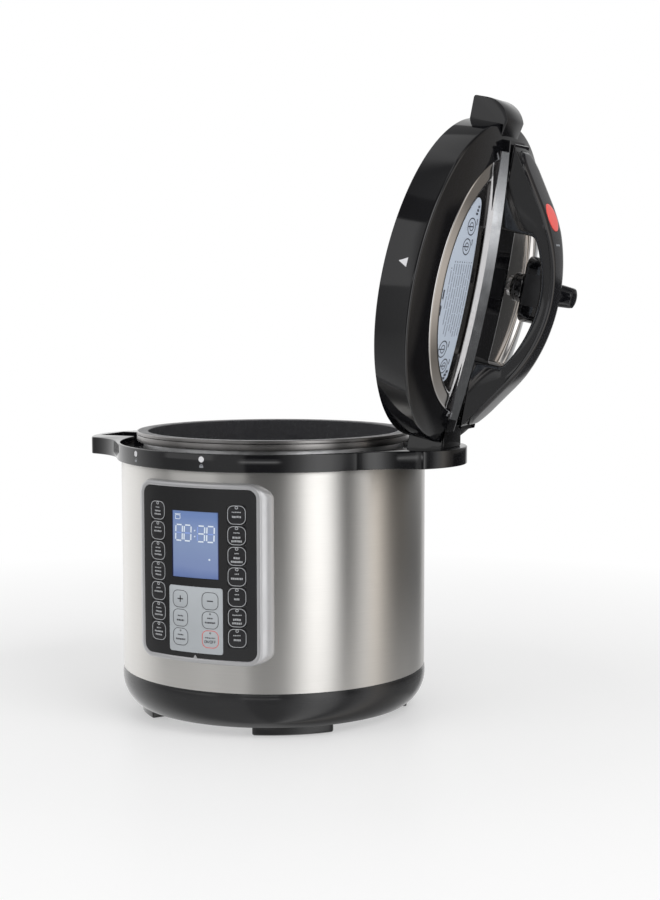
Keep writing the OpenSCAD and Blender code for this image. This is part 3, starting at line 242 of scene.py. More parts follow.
finish("float", "float_rubber", "float_rubber", (0.55, 0.12, 0.07), 0.55, scale=60, bump=0.1, bscale=900)
finish("board", "circuit_board", "circuit_board", (0.03, 0.16, 0.07), 0.42, vary=0.2, scale=300, bump=0.1,
       bscale=1200)
finish("smoke", "cup_plastic", "smoky_plastic", (0.10, 0.105, 0.115), 0.15, vary=0.08, scale=50, alpha=0.72,
       bump=0.03, bscale=200)
finish("lcd", "display", "lcd_screen", (0.2, 0.3, 0.6), 0.16, vary=0.1, scale=50)
finish("lcd_rim", "display", "lcd_rim", (0.02, 0.03, 0.12), 0.3)
finish("digit", "black_matte", "lcd_digit", (0.62, 0.68, 0.74), 0.3, vary=0.04, emit=0.25)
finish("ghost", "display", "lcd_ghost", (0.20, 0.29, 0.60), 0.3, vary=0.04, emit=0.25)


# ---------------------------------------------------------------- mesh helpers
def shade(me, sharp=32):
    """Smooth shading, broken at edges sharper than an angle in degrees."""
    me.polygons.foreach_set("use_smooth", [True] * len(me.polygons))
    me.set_sharp_from_angle(angle=math.radians(sharp))


def tidied(me, join):
    """Joins a mesh's double points and turns its faces outwards."""
    bm = bmesh.new()
    bm.from_mesh(me)
    if join:
        bmesh.ops.remove_doubles(bm, verts=bm.verts, dist=join)
    bmesh.ops.recalc_face_normals(bm, faces=bm.faces)
    bm.to_mesh(me)
    bm.free()


def seat(name, me, mat, body):
    """A mesh in metres as a piece that rides on a body."""
    ob = bpy.data.objects.new(name, me)
    bpy.context.scene.collection.objects.link(ob)
    me.materials.append(M[mat])
    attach(ob, body)
    return ob


def piece(name, verts, faces, mat, body, where=None, sharp=32, smooth=True):
    """A mesh from points in mm, riding on a body."""
    if where:
        verts = [where(v) for v in verts]
    me = bpy.data.meshes.new(name)
    me.from_pydata([(x * MM, y * MM, z * MM) for x, y, z in verts], [], faces)
    tidied(me, 1e-6)
    if smooth:
        shade(me, sharp)
    return seat(name, me, mat, body)


def fillet(pts, radii, n=5):
    """A closed 2D outline with each corner rounded by its own radius."""
    out = []
    k = len(pts)
    for i in range(k):
        p, a, b = np.array(pts[i], float), np.array(pts[i - 1], float), np.array(pts[(i + 1) % k], float)
        r = radii[i] if isinstance(radii, (list, tuple)) else radii
        u, v = a - p, b - p
        lu, lv = np.linalg.norm(u), np.linalg.norm(v)
        if r <= 0 or lu < 1e-9 or lv < 1e-9:
            out.append(tuple(p))
            continue
        u, v = u / lu, v / lv
        ang = math.acos(max(-1, min(1, float(u @ v))))
        if ang > PI - 0.02:
            out.append(tuple(p))
            continue
        t = min(r / math.tan(ang / 2), 0.49 * lu, 0.49 * lv)
        r = t * math.tan(ang / 2)
        bis = (u + v) / np.linalg.norm(u + v)
        c = p + bis * (r / math.sin(ang / 2))
        s, e = p + u * t - c, p + v * t - c
        a0 = math.atan2(s[1], s[0])
        da = math.atan2(e[1], e[0]) - a0
        da = (da + PI) % (2 * PI) - PI
        for j in range(n + 1):
            w = a0 + da * j / n
            out.append((c[0] + r * math.cos(w), c[1] + r * math.sin(w)))
    return out


def arc(c, r, a0, a1, n):
    """Points along an arc about c, with its angles in degrees."""
    turns = [math.radians(a0 + (a1 - a0) * i / n) for i in range(n + 1)]
    return [(c[0] + r * math.cos(t), c[1] + r * math.sin(t)) for t in turns]


def box2(x0, y0, x1, y1):
    """A flat box's corners."""
    return [(x0, y0), (x1, y0), (x1, y1), (x0, y1)]


def rounded(x0, y0, x1, y1, r, n=6):
    """A flat box with round corners."""
    return fillet(box2(x0, y0, x1, y1), r, n)


def circle(c, r, n):
    """A circle's points."""
    return [(c[0] + r * math.cos(2 * PI * k / n), c[1] + r * math.sin(2 * PI * k / n)) for k in range(n)]


def ab(s):
    """The letter of a side, -1 or 1, in the names of pieces."""
    return "ab"[s > 0]


def loops(rows, cap=(False, False), wrap=False):
    """Quads between rows of points; wrap joins the last row to the first, and cap closes the ends."""
    n = len(rows[0])
    faces = []
    for i in range(len(rows) if wrap else len(rows) - 1):
        j = (i + 1) % len(rows)
        faces += [(i * n + k, i * n + (k + 1) % n, j * n + (k + 1) % n, j * n + k) for k in range(n)]
    if cap[0]:
        faces.append(tuple(range(n - 1, -1, -1)))
    if cap[1]:
        faces.append(tuple(range((len(rows) - 1) * n, len(rows) * n)))
    return [v for row in rows for v in row], faces


def loft(name, rows, mat, body, where=None, sharp=32, cap=(True, True)):
    """A piece through rows of points, closed at its ends."""
    return piece(name, *loops(rows, cap), mat, body, where, sharp)


def ring(name, rows, mat, body, where=None, sharp=32):
    """A piece through rows of points, the last joined to the first."""
    return piece(name, *loops(rows, wrap=True), mat, body, where, sharp)


def revolve(name, outline, mat, body, n=160, where=at_pot):
    """A closed outline in (radius, height) turned about an axis."""
    turns = [math.radians(360 * i / n) for i in range(n)]
    return ring(name, [[(r * math.cos(a), r * math.sin(a), z) for r, z in outline] for a in turns], mat, body, where)


def slab(outline, axis, lo, hi, bevel, seg, ends=(0, 1)):
    """A bmesh of a 2D outline made solid between two levels, with the rims at the given ends rounded."""
    bm = bmesh.new()
    n = len(outline)
    vs = [[bm.verts.new((p[0], p[1], t) if axis == "z" else (p[0], t, p[1])) for p in outline] for t in (lo, hi)]
    bm.faces.new(vs[0][::-1])
    bm.faces.new(vs[1])
    for i in range(n):
        j = (i + 1) % n
        bm.faces.new((vs[0][i], vs[0][j], vs[1][j], vs[1][i]))
    bmesh.ops.recalc_face_normals(bm, faces=bm.faces)
    if bevel:
        rim = [e for e in bm.edges if any(e.verts[0] in vs[k] and e.verts[1] in vs[k] for k in ends)]
        bmesh.ops.bevel(bm, geom=rim, offset=bevel, segments=seg, profile=0.5, affect="EDGES", clamp_overlap=True)
    return bm


def unpacked(bm):
    """A bmesh's points and faces; the bmesh is freed."""
    bm.verts.index_update()
    out = [tuple(v.co) for v in bm.verts], [tuple(v.index for v in f.verts) for f in bm.faces]
    bm.free()
    return out


def prism(name, outline, lo, hi, mat, body, where=None, axis="z", bevel=0.5, seg=3):
    """A piece with a flat outline and rounded rims, between two levels."""
    return piece(name, *unpacked(slab(outline, axis, lo, hi, bevel, seg)), mat, body, where)


def cut_out(ob, plan, lo, hi, where, sharp=32):
    """Cuts a hole with the given plan out of a piece, from one level to another."""
    me = bpy.data.meshes.new("cutter")
    verts, faces = loops([[(x, y, z) for x, y in plan] for z in (lo, hi)], (True, True))
    me.from_pydata([tuple(c * MM for c in where(v)) for v in verts], [], faces)
    tidied(me, 0)
    cutter = bpy.data.objects.new("cutter", me)
    bpy.context.scene.collection.objects.link(cutter)
    cut = ob.modifiers.new("cut", "BOOLEAN")
    cut.operation, cut.solver, cut.object = "DIFFERENCE", "EXACT", cutter
    bpy.context.view_layer.update()
    new = bpy.data.meshes.new_from_object(ob.evaluated_get(bpy.context.evaluated_depsgraph_get()))
    ob.modifiers.clear()
    ob.data = new
    bpy.data.objects.remove(cutter)
    bpy.data.meshes.remove(me)
    shade(new, sharp)


def soft(node, name, mat, body, width, seg=2):
    """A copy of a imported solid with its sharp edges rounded."""
    me = NODES[node].data.copy()
    me.name = name
    bm = bmesh.new()
    bm.from_mesh(me)
    bmesh.ops.remove_doubles(bm, verts=bm.verts, dist=2e-6)
    bmesh.ops.dissolve_limit(bm, angle_limit=math.radians(1.0), verts=bm.verts, edges=bm.edges)
    edges = [e for e in bm.edges if len(e.link_faces) == 2 and e.calc_face_angle(0) > math.radians(30)]
    bmesh.ops.bevel(bm, geom=edges, offset=width * MM, segments=seg, profile=0.5, affect="EDGES", clamp_overlap=True)
    bmesh.ops.recalc_face_normals(bm, faces=bm.faces)
    bm.to_mesh(me)
    bm.free()
    if "custom_normal" in me.attributes:
        me.attributes.remove(me.attributes["custom_normal"])
    me.materials.clear()
    me.polygons.foreach_set("use_smooth", [len(p.vertices) <= 4 and p.area < WIDE for p in me.polygons])
    me.set_sharp_from_angle(angle=math.radians(32))
    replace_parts(seat(name, me, mat, body), node)


WIDE = 80e-6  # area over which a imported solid's face is flat, m2


# ---------------------------------------------------------------- base and body
def base():
    """The black base, the dark seam over it and the feet."""
    pts = [(109.5, 8.4), (129.9, 8.4)] + arc((109.5, 34), 33.1, -51, 12, 16)
    pts += [(BODY_R, WRAP_Z0 - 0.2), (139, WRAP_Z0 - 0.2), (136, 20), (124, 11.5), (109.5, 11.5)]
    radii = [0, 1.2] + [0] * 16 + [0.9, 0.6, 0.5, 0.5, 0.5, 0]
    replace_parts(revolve("base_shell", fillet(pts, radii, 4), "base", "body", 200), "base_ring")
    revolve("base_seam", box2(BODY_R - 1.5, WRAP_Z0 - 1, BODY_R - 0.35, WRAP_Z0 + 0.35), "dark", "body")
    for i, (az, span) in enumerate(((-42, 16), (36, 34), (116, 16), (198, 34))):
        a0 = -90 + az - span / 2
        plan = arc((0, 0), 126, a0, a0 + span, 16) + arc((0, 0), 110, a0 + span, a0, 16)
        radii = [5] + [0] * 15 + [5, 5] + [0] * 15 + [5]
        prism(f"foot_{i + 1}", fillet(plan, radii, 5), 0, 8.6, "base", "body", at_pot, bevel=2.4, seg=4)
    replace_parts(bpy.data.objects["foot_1"], "feet")


def wrap():
    """The brushed steel shell, with an opening for the mains inlet."""
    outline = rounded(BODY_R - 0.8, WRAP_Z0, BODY_R, COLLAR_Z0 + 1.6, 0.25, 2)
    ob = revolve("shell_wrap", outline, "steel", "body", 256)
    cut_out(ob, box2(-16.4, BODY_R - 22, 16.4, BODY_R + 8), WRAP_Z0 + 4.1, WRAP_Z0 + 29.9, at_pot)
    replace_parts(ob, "body_wrap")


# a side handle: where its hollow side starts on the collar, its corner, and its reach
ROOT_X, ROOT_Y = 123.4, 78.05
CORNER_X, CORNER_Y, REACH = 173, 46, 190
END_R = (CORNER_Y ** 2 + (REACH - CORNER_X) ** 2) / (2.0 * (REACH - CORNER_X))
END_A = math.degrees(math.asin(43.5 / END_R))


def flank(n=24):
    """The hollow side of a handle, from the collar to the corner; its direction turns by 43 degrees on the way."""
    turns = [math.radians(54 - 43 * ((i + 0.5) / n) ** 1.3) for i in range(n)]
    pts = [(0.0, 0.0)]
    for a in turns:
        pts.append((pts[-1][0] + math.cos(a), pts[-1][1] + math.sin(a)))
    kx, ky = (CORNER_X - ROOT_X) / pts[-1][0], (ROOT_Y - CORNER_Y) / pts[-1][1]
    return [(ROOT_X + x * kx, y * ky - ROOT_Y) for x, y in pts]


def handle_plan():
    """The outline of the right side handle, seen from above."""
    side = [(104, -96)] + flank()
    raw = side + arc((REACH - END_R, 0), END_R, -END_A, END_A, 30) + [(x, -y) for x, y in side[::-1]]
    plain = [0] * (len(side) - 1)
    return fillet(raw, plain + [5] + [0] * 31 + [5] + plain, 8)


def wing_edge(theta, plan):
    """Distance from the pot's axis to the collar's outer edge in one direction, melting into its circle."""
    c, s = math.cos(theta), math.sin(theta)
    best = 0.0
    for (x0, y0), (x1, y1) in zip(plan, plan[1:]):
        a0, a1 = x0 * s - y0 * c, x1 * s - y1 * c
        if a0 == a1 or (a0 > 0) == (a1 > 0):
            continue
        t = a0 / (a0 - a1)
        best = max(best, (x0 + (x1 - x0) * t) * c + (y0 + (y1 - y0) * t) * s)
    past = best - COLLAR_R
    return COLLAR_R + (math.log1p(math.exp(past)) if past < 30 else past)


def smooth(t):
    """An even step from 0 to 1."""
    return t * t * (3 - 2 * t)


def collar():
    """The black ring around the top, with a handle at each side and a slot in each handle."""
    plan, rows, a = handle_plan(), [], 0.0
    while a < 360 - 1e-6:
        t = math.radians(a)
        b = min(a % 180, 180 - a % 180)
        a += 0.25 if (12 < b < 22 or 30 < b < 38) else 0.75
        r = max(wing_edge(t, plan), wing_edge(t + PI, plan) if math.cos(t) < 0 else 0)
        f = smooth(max(0.0, min(1.0, (r - 150) / 8)))  # 1 on a handle
        out = max(r - 3.2, 144.7)
        inn = min(out - 0.05, 144.6 + 4 * f)
        under = COLLAR_Z0 + 4 * f
        sec = [(COLLAR_IN, COLLAR_Z0), (COLLAR_IN, COLLAR_Z1), (r, COLLAR_Z1), (r, COLLAR_Z0), (out, COLLAR_Z0),
               (out, under), (inn, under), (inn, COLLAR_Z0)]
        sec = fillet(sec, [0.3, 0.5, 1.1, 0.7, 0, 0, 0, 0], 4)
        rows.append([(q * math.cos(t), q * math.sin(t), z) for q, z in sec])
    ob = ring("collar_and_wings", rows, "gloss", "body", at_pot)
    for s in (1, -1):
        cut_out(ob, rounded(s * 137, -20.4, s * 180.8, 20.4, 1.6, 4), 239.2, 270, at_pot)
    bm = bmesh.new()
    bm.from_mesh(ob.data)
    bmesh.ops.remove_doubles(bm, verts=bm.verts, dist=2e-5)
    bmesh.ops.dissolve_degenerate(bm, edges=bm.edges, dist=1e-6)
    bm.to_mesh(ob.data)
    bm.free()
    shade(ob.data)
    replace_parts(ob, "collar")
    guard = [(128.5, 225), (130.9, 225), (130.9, 236.7), (143.4, 236.7), (143.4, 239.7), (129.3, 239.7),
             (128.5, 239.2)]
    revolve("collar_groove", fillet(guard, 0.4, 3), "gloss2", "body")


def marks():
    """Two dots with plain symbols under them, and a triangle, printed on the collar."""
    def mark(name, azimuth, outline, mat="grey_print"):
        def on_wall(p):
            a = math.radians(azimuth) + p[0] / COLLAR_R
            return at_pot(((COLLAR_R + p[2]) * math.sin(a), -(COLLAR_R + p[2]) * math.cos(a), p[1]))
        prism(name, outline, -0.1, 0.04, mat, "body", on_wall, bevel=0.0)
    for name, azimuth, x in (("mark_closed", 3.0, 0), ("mark_open", -29.0, 1.0)):
        mark(name, azimuth, arc((0, 245.6), 2.6, 0, 345, 23), "print")
        mark(name + "_symbol", azimuth, rounded(-1.9, 238.2, 1.9, 240.3, 0.4, 3))
        mark(name + "_bow", azimuth, arc((x, 240.2), 1.4, 0, 180, 12) + arc((x, 240.2), 0.9, 180, 0, 12))
    tri = [(-4.2, 237.2), (-3.2, 237.2), (0, 246.5), (3.2, 237.2), (4.2, 237.2), (0.5, 248.3), (-0.5, 248.3)]
    mark("mark_triangle", 56, tri)


def pots():
    """The pot's housing with its flange, and the coated inner pot with its bright rim."""
    revolve("pot_flange_band", rounded(121.8, 251.8, 127.5, 257.7, 0.35, 3), "rim", "body", 200)
    wall = [(121.5, 64), (121.5, 251.8), (119.5, 251.8), (119.5, 66), (30, 66), (30, 64)]
    outer_pot = revolve("outer_pot_wall", fillet(wall, 0.5, 3), "alu", "body")
    z0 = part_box("inner_pot")[0].z / MM
    corner, thick = 16.0, 1.8
    mid = (118 - corner, z0 + corner)
    outer = [(0.4, z0)] + arc(mid, corner, -90, 0, 10)
    inner = arc(mid, corner - thick, 0, -90, 10) + [(0.4, z0 + thick)]
    rim = [(118, RIM_Z1 - 2.9), (127.5, RIM_Z1 - 2.9), (127.5, RIM_Z1), (116.2, RIM_Z1)]
    outline = outer + fillet(rim, [0.8, 0.7, 1.3, 2.2], 5) + inner
    inner_pot = revolve("inner_pot_shell", outline, "coating", "pot", 200)
    band = rounded(126.2, RIM_Z1 - 2.8, 127.62, RIM_Z1 + 0.05, [0.2, 0.3, 1.0, 0.3], 5)
    revolve("inner_pot_rim", band, "rim", "pot", 200)
    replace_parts(inner_pot, "inner_pot")
    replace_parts(outer_pot, "outer_pot")


# ---------------------------------------------------------------- lid
CROWN_R = (104 ** 2 + 6 ** 2) / 12.0  # the lid's top is a shallow ball, 6 high over a radius of 104


def crown(x, y):
    """Height of the lid's steel top."""
    return 41 - CROWN_R + math.sqrt(CROWN_R ** 2 - x * x - y * y)

def d_outline(r, y0, tip, sign, n=(24, 8, 40)):
    """A D: a chord at y0, rounded tips, and an arc of radius r; sign picks the side of the handle."""
    ty = y0 + tip
    tx = math.sqrt((r - tip) ** 2 - ty ** 2)
    ang = math.degrees(math.atan2(ty, tx))
    pts = [(-tx + 2 * tx * i / n[0], y0) for i in range(n[0])]
    pts += arc((tx, ty), tip, -90, ang, n[1])[:-1]
    pts += arc((0, 0), r, ang, 180 - ang, n[2])[:-1]
    pts += arc((-tx, ty), tip, 180 - ang, 270, n[1])[:-1]
    return [(x, sign * y) for x, y in pts]


def shrink(outline, fac, mid):
    """An outline scaled about a point."""
    return [(mid[0] + (x - mid[0]) * fac, mid[1] + (y - mid[1]) * fac) for x, y in outline]


def lift(d, side):
    """A window border's height over the crown, d in from its outline; side is 1 on the arc, 0 on the chord."""
    at = [0, 1, 2.5, 4.5, 6.5, 8.5, 10.5, 12.5, 14.5, 16.5]
    arc_h = np.interp(d, [0, 0.6, 8.6, 9.6, 10.6, 11.8, 13.2, 14.6], [2.2, 3.0, 5.1, 5.2, 4.7, 3.0, 1.0, 0])
    chord_h = np.interp(d, at, [-3.2, -3.1, -3.0, -2.4, -0.6, 0.7, 0.9, 0.5, 0.1, 0])
    return chord_h + (arc_h - chord_h) * side


def d_plate(name, sign, mat):
    """A steel window beside the handle, with a rolled border."""
    rows = []
    for d in (0, 0.5, 1, 1.7, 2.5, 3.5, 4.5, 5.5, 6.5, 7.5, 8.5, 9.5, 10.5, 11.5, 12.5, 13.5, 14.5, 15.5, 16.5):
        y0 = 25 + d * 0.95
        o = d_outline(113.6 - d, y0, 6 - d * 0.1, sign)
        side = [smooth(min(1.0, max(0.0, (abs(y) - y0 - 0.5) / 9.0))) for x, y in o]
        rows.append([(x, y, crown(x, y) + lift(d, t)) for (x, y), t in zip(o, side)])
    for fac in (0.9, 0.75, 0.6, 0.45, 0.3, 0.12):
        rows.append([(x, y, crown(x, y)) for x, y in shrink(o, fac, (0, sign * 66))])
    loft(name, rows, mat, "lid", at_lid, 60, (False, True))


SKIRT_R = 142.3
CREST_X, CREST_H = 128, 48.3  # half the length of the bridge's curved top, and its height
CREST_R = (CREST_X ** 2 + 8.1 ** 2) / 16.2


def lid_skirt():
    """The lid's black cover and the triangle printed on it."""
    skirt = [(139.7, 0), (SKIRT_R, 0), (SKIRT_R, 29.3), (113, 36.9), (113, 34.2), (139.7, 26.6)]
    pts = fillet(skirt, [0.5, 0.6, 3.0, 1.1, 0.3, 2], 6)
    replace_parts(revolve("lid_skirt", pts, "gloss", "lid", 256, at_lid), "lid_cover")

    def on_skirt(p):
        t = math.radians(263.0) + p[0] / SKIRT_R
        r = SKIRT_R + p[2]
        return at_lid((r * math.cos(t), r * math.sin(t), p[1]))
    prism("skirt_mark", [(-3.9, 20.2), (3.9, 20.2), (0, 12.6)], -0.1, 0.1, "print", "lid", on_skirt, bevel=0)


def crest(x):
    """Height of the bridge's top."""
    return CREST_H - CREST_R + math.sqrt(CREST_R * CREST_R - x * x)


def bridge():
    """The bar under the handle, with an ear at each end, a foot and a bright strip along each side."""
    half = math.degrees(math.asin(CREST_X / CREST_R))
    top = arc((0, CREST_H - CREST_R), CREST_R, 90 - half, 90 + half, 160)
    top = [(x, h - 9.2 * min(1, (127.9 - abs(x)) / 0.4)) for x, h in top if abs(x) < 127.95]
    ear_r, ear_l = arc((EAR_CX, EAR_CH), EAR_R, 0, 72, 10), arc((-EAR_CX, EAR_CH), EAR_R, 108, 180, 10)
    out = [(139.9, 0), (EAR_X, 0)] + ear_r + top + ear_l + [(-EAR_X, 0), (-139.9, 0), (-139.9, 31), (139.9, 31)]
    radii = [0.6, 2.2] + [0] * (len(ear_r) + len(top) + len(ear_l)) + [2.2, 0.6, 0, 0]
    prism("lid_bridge", fillet(out, radii, 4), -20, 20, "gloss", "lid", at_lid, axis="y", bevel=1.0)
    sec = ((-17.9, -9.4), (-17.7, -0.5), (-17.2, 0), (17.2, 0), (17.7, -0.5), (17.9, -9.4))
    rows = [[(x, y, crest(x) + h) for y, h in sec] for x in np.linspace(-CREST_X, CREST_X, 49)]
    loft("bridge_cap", rows, "gloss", "lid", at_lid)
    # a foot's inner edge follows the bridge's top, and its outer edge the window beside it
    curve = [(25.8 - 5.2 * math.sin(t), 40.4 - 1.6 * math.cos(t)) for t in map(math.radians, (4, 20, 40, 60, 80))]
    foot = [(18, 31), (26.2, 31), (26.2, 38.4)] + curve + [(18, 40.2)]
    side = [(20.7, 0.02), (20.7, 0.1), (19.2, 0.55), (17.75, 0.985), (17.0, 1.0)]
    run, tall = 118, 9.6  # half the length of foot and strip, and the strip's height
    for s in (-1, 1):
        rows = []
        for x in [-run + 2 * run * i / 40 for i in range(41)]:
            outer, inner = 0.00016 * x * x, CREST_H - crest(x)
            rows.append([(x, s * y, h - (outer if y > 23 else inner) * (h > 32)) for y, h in foot])
        loft(f"bridge_foot_{ab(s)}", rows, "gloss2", "lid", at_lid)
        rows = []
        for x in [-run + 2 * run * i / 64 for i in range(65)]:
            low = crest(x) - tall
            rows.append([(x, s * 16.9, low)] + [(x, s * y, low + (crest(x) + 0.05 - low) * k) for y, k in side])
        loft(f"bridge_side_{ab(s)}", rows, "trim", "lid", at_lid, 16)
        d_plate(f"steel_window_{ab(s)}", s, "mirror")


ARCH_R, ARCH_CZ = 141.4, 99.5 - 141.4
ARCH_END = math.radians(34.6)  # where the arch runs on straight


def seam(x, t=0.0):
    """Height of the handle's seam curve, raised by t square to it."""
    ax, r = abs(x), ARCH_R + t
    lim = r * math.sin(ARCH_END)
    if ax <= lim:
        return ARCH_CZ + math.sqrt(r * r - x * x)
    return ARCH_CZ + r * math.cos(ARCH_END) - math.tan(ARCH_END) * (ax - lim)


WAIST_R = (64 ** 2 + 5.8 ** 2) / 11.6


def half_width(x):
    """Half the handle's width, with a waist in the grip."""
    d = abs(x - 5.5)
    return 17.2 if d >= 64 else 11.4 + WAIST_R - math.sqrt(WAIST_R ** 2 - d * d)


def cross_section(o, i, w, ro, ri, n=4):
    """A rounded rectangle between an outer and an inner point of the handle's side view, w wide each way."""
    o, i = np.array(o, float), np.array(i, float)
    d = i - o
    length = np.linalg.norm(d)
    d = d / length
    sec = fillet([(-w, 0), (w, 0), (w, length), (-w, length)], [ro, ro, ri, ri], n)
    return [(o[0] + d[0] * q, y, o[1] + d[1] * q) for y, q in sec]


def resample(pts, n):
    """n points spread evenly along a line of points."""
    p = np.array(pts)
    s = np.concatenate([[0], np.cumsum(np.linalg.norm(np.diff(p, axis=0), axis=1))])
    t = np.linspace(0, s[-1], n)
    return np.stack([np.interp(t, s, p[:, 0]), np.interp(t, s, p[:, 1])], 1)


def split(pts, xa, xb):
    """A line of the handle's side view cut into pillar, grip and pillar."""
    s = resample(pts, 600)
    low = (s[:, 1] < 60) * 1e3
    ia = int(np.argmin(np.abs(s[:, 0] - xa) + low))
    ib = len(s) - 1 - int(np.argmin((np.abs(s[:, 0] - xb) + low)[::-1]))
    return s[:ia + 1], s[ia:ib + 1], s[ib:]


def handle_arch():
    """The handle over the lid, from its seam down to its opening."""
    foot = 44
    r, x0, x1, f = 118.0, -52.0, 63.0, 7.0  # the opening's top radius, its sides and its corners
    cz = 99.5 - 9.6 - r
    c0 = (x0 + f, cz + math.sqrt((r - f) ** 2 - (x0 + f) ** 2))
    c1 = (x1 - f, cz + math.sqrt((r - f) ** 2 - (x1 - f) ** 2))
    a0 = 90 + math.degrees(math.asin(-c0[0] / (r - f)))
    a1 = 90 - math.degrees(math.asin(c1[0] / (r - f)))
    under = [(x0, foot + (c0[1] - foot) * k / 6) for k in range(6)] + arc(c0, f, 180, a0, 7)[:-1]
    under += arc((0, cz), r, a0, a1, 30)[:-1] + arc(c1, f, a1, 0, 7)
    under += [(x1, foot + (c1[1] - foot) * k / 6) for k in range(5, -1, -1)]
    over = [(-126, foot), (-126, 46.3)] + [(x, seam(x)) for x in np.linspace(-125, 125, 60)]
    over += [(126, 46.3), (126, foot)]
    rows = []
    for p, q, m in zip(split(over, -62, 74), split(under, c0[0] - f * 0.7, c1[0] + f * 0.7), (26, 44, 26)):
        for o, i in list(zip(resample(p, m), resample(q, m)))[1 if rows else 0:]:
            rows.append(cross_section(o, i, half_width(0.5 * (o[0] + i[0])), 1.0, 3.2))
    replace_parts(loft("handle_arch", rows, "gloss", "lid", at_lid, 40), "handle_body")


RED_X = -70.4  # the pressure indicator's place on the handle
END_X = 121.6


def handle_strip():
    """The crowned strip on top of the handle, with rounded ends and a hole for the indicator."""
    xs = {round(END_X * t, 4) for t in np.linspace(-1, 1, 121)}
    xs |= {s * (END_X - d) for s in (-1, 1) for d in (0.05, 0.3, 0.8, 1.6, 2.8, 4.4)}
    rows = []
    for x in sorted(xs):
        e = END_X - abs(x)
        w = half_width(x) - 0.25
        if e < 17:
            w = min(w, math.sqrt(max(0.01, 17 ** 2 - (17 - e) ** 2)))
        thick = 3.4 * min(1.0, math.sqrt(max(0.0, e / 2.2)))
        row = []
        for u in [-1 + k / 6 for k in range(13)]:
            h = thick * (1 - 0.10 * u * u) * (1 - 0.5 * max(0, (abs(u) - 0.83) / 0.17) ** 2)
            row.append((x, w * u, seam(x, h)))
        rows.append(row + [(x, w * 0.998, seam(x, 0.02)), (x, -w * 0.998, seam(x, 0.02))])
    strip = loft("handle_strip", rows, "strip", "lid", at_lid, 40)
    cut_out(strip, circle((RED_X, 0), 11.25, 40), 72, 110, at_lid, 40)
    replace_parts(strip, "handle_cover")
    rows = []
    for x in np.linspace(-120, 120, 80):
        w = half_width(x) - 0.7
        rows.append([(x, y, seam(x, t)) for y, t in ((-w, -0.3), (w, -0.3), (w, 0.4), (-w, 0.4))])
    loft("handle_seam", rows, "dark", "lid", at_lid)


def indicator():
    """The pressure indicator's red cap, which follows the handle's curve, its stem, and the mark beside it."""
    prof = ((10.7, -9.0), (10.9, -0.5), (10.9, 0.3), (10.6, 0.75), (9.8, 0.95), (7, 1.05), (3, 1.1))
    rows = [[(x, y, seam(x, 3.2) + dz if k else 71.0) for x, y in circle((RED_X, 0), r, 40)]
            for k, (r, dz) in enumerate(prof)]
    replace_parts(loft("indicator_cap", rows, "red", "float", at_lid, 50), "pressure_indicator")
    rows = [[(x, y, h) for x, y in circle((RED_X, 0), 2.2, 16)] for h in (31, 71.5)]
    loft("indicator_stem", rows, "zinc", "float", at_lid)
    prism("strip_mark", box2(-49.2, -4.6, -47.6, 4.6), 0, 1, "grey_print", "lid",
          lambda p: at_lid((p[0], p[1], seam(p[0], 3.3 + 0.15 * p[2]))), bevel=0)


FILM = 0.36  # how far the label stands over the lid's crown


def label():
    """The pale label in the near window, with rings, ruled lines and bars in place of its print."""
    rows = []
    for r, y0, tip, up in ((97.2, 48.3, 6.0, 0.0), (97.2, 48.3, 6.0, 0.28), (96.9, 48.6, 5.8, FILM)):
        o = [(x + 2.6, y) for x, y in d_outline(r, y0, tip, -1)]
        rows.append([(x, y, crown(x, y) + up) for x, y in o])
    for fac in (0.85, 0.65, 0.45, 0.2):
        rows.append([(x, y, crown(x, y) + FILM) for x, y in shrink(o, fac, (0, -70))])
    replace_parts(loft("window_label", rows, "label", "lid", at_lid, 60, (False, True)), "lid_label")

    def on_label(p):
        return at_lid((p[0], -p[1], crown(p[0], p[1]) + FILM + p[2]))

    def bar(n, x0, v0, x1, v1, mat="ink"):
        prism(n, box2(x0, v0, x1, v1), -0.05, 0.06, mat, "lid", on_label, bevel=0)

    def band(n, x, v, r, w):
        sec = ((r - w, -0.05), (r, -0.05), (r, 0.06), (r - w, 0.06))
        turns = [2 * PI * j / 28 for j in range(28)]
        rows = [[(x + q * math.cos(t), v + q * math.sin(t), h) for q, h in sec] for t in turns]
        ring(n, rows, "ink", "lid", on_label)
    for i, (x, v, r) in enumerate(((-52, 62, 7.6), (-35, 66, 7.2), (53, 72, 7.6), (68, 62, 6.6))):
        band(f"label_ring_{i}", x, v, r, 1.0)
        band(f"label_ring_in_{i}", x, v, r * 0.5, 0.8)
        bar(f"label_needle_{i}", x - 0.5, v - r * 0.4, x + 0.5, v + r * 0.9)
        bar(f"label_tick_{i}", x - r * 0.9, v - r - 2.4, x - r * 0.2, v - r - 1.2)
    rng = np.random.default_rng(4)
    for c in range(9):
        v0 = 51.5 + c * 4.3
        lim = math.sqrt(max(1, 90 ** 2 - (v0 + 2) ** 2)) * 0.75
        x = -min(20, lim)
        bar(f"label_dot_{c}", x - 2.4, v0, x - 1.2, v0 + 1.0)
        k = 0
        while x < min(40 - c * 1.4, lim):
            step = float(rng.uniform(4.5, 13))
            bar(f"label_line_{c}_{k}", x, v0, min(x + step, 42), v0 + 1.3, "label_text")
            x += step + 0.9
            k += 1
    bar("label_heading", 2, 91.0, 24, 93.4)
    bar("label_rule", -26, 93.2, -18, 94.2)
    for i, x in enumerate((-70, -67, -64)):
        bar(f"label_tip_{i}", x, 51 + i, x + 2.0, 54 + i * 1.5)
        bar(f"label_foot_{i}", -x + 8, 54 - i * 1.5, -x + 10.2, 59 - i * 2)


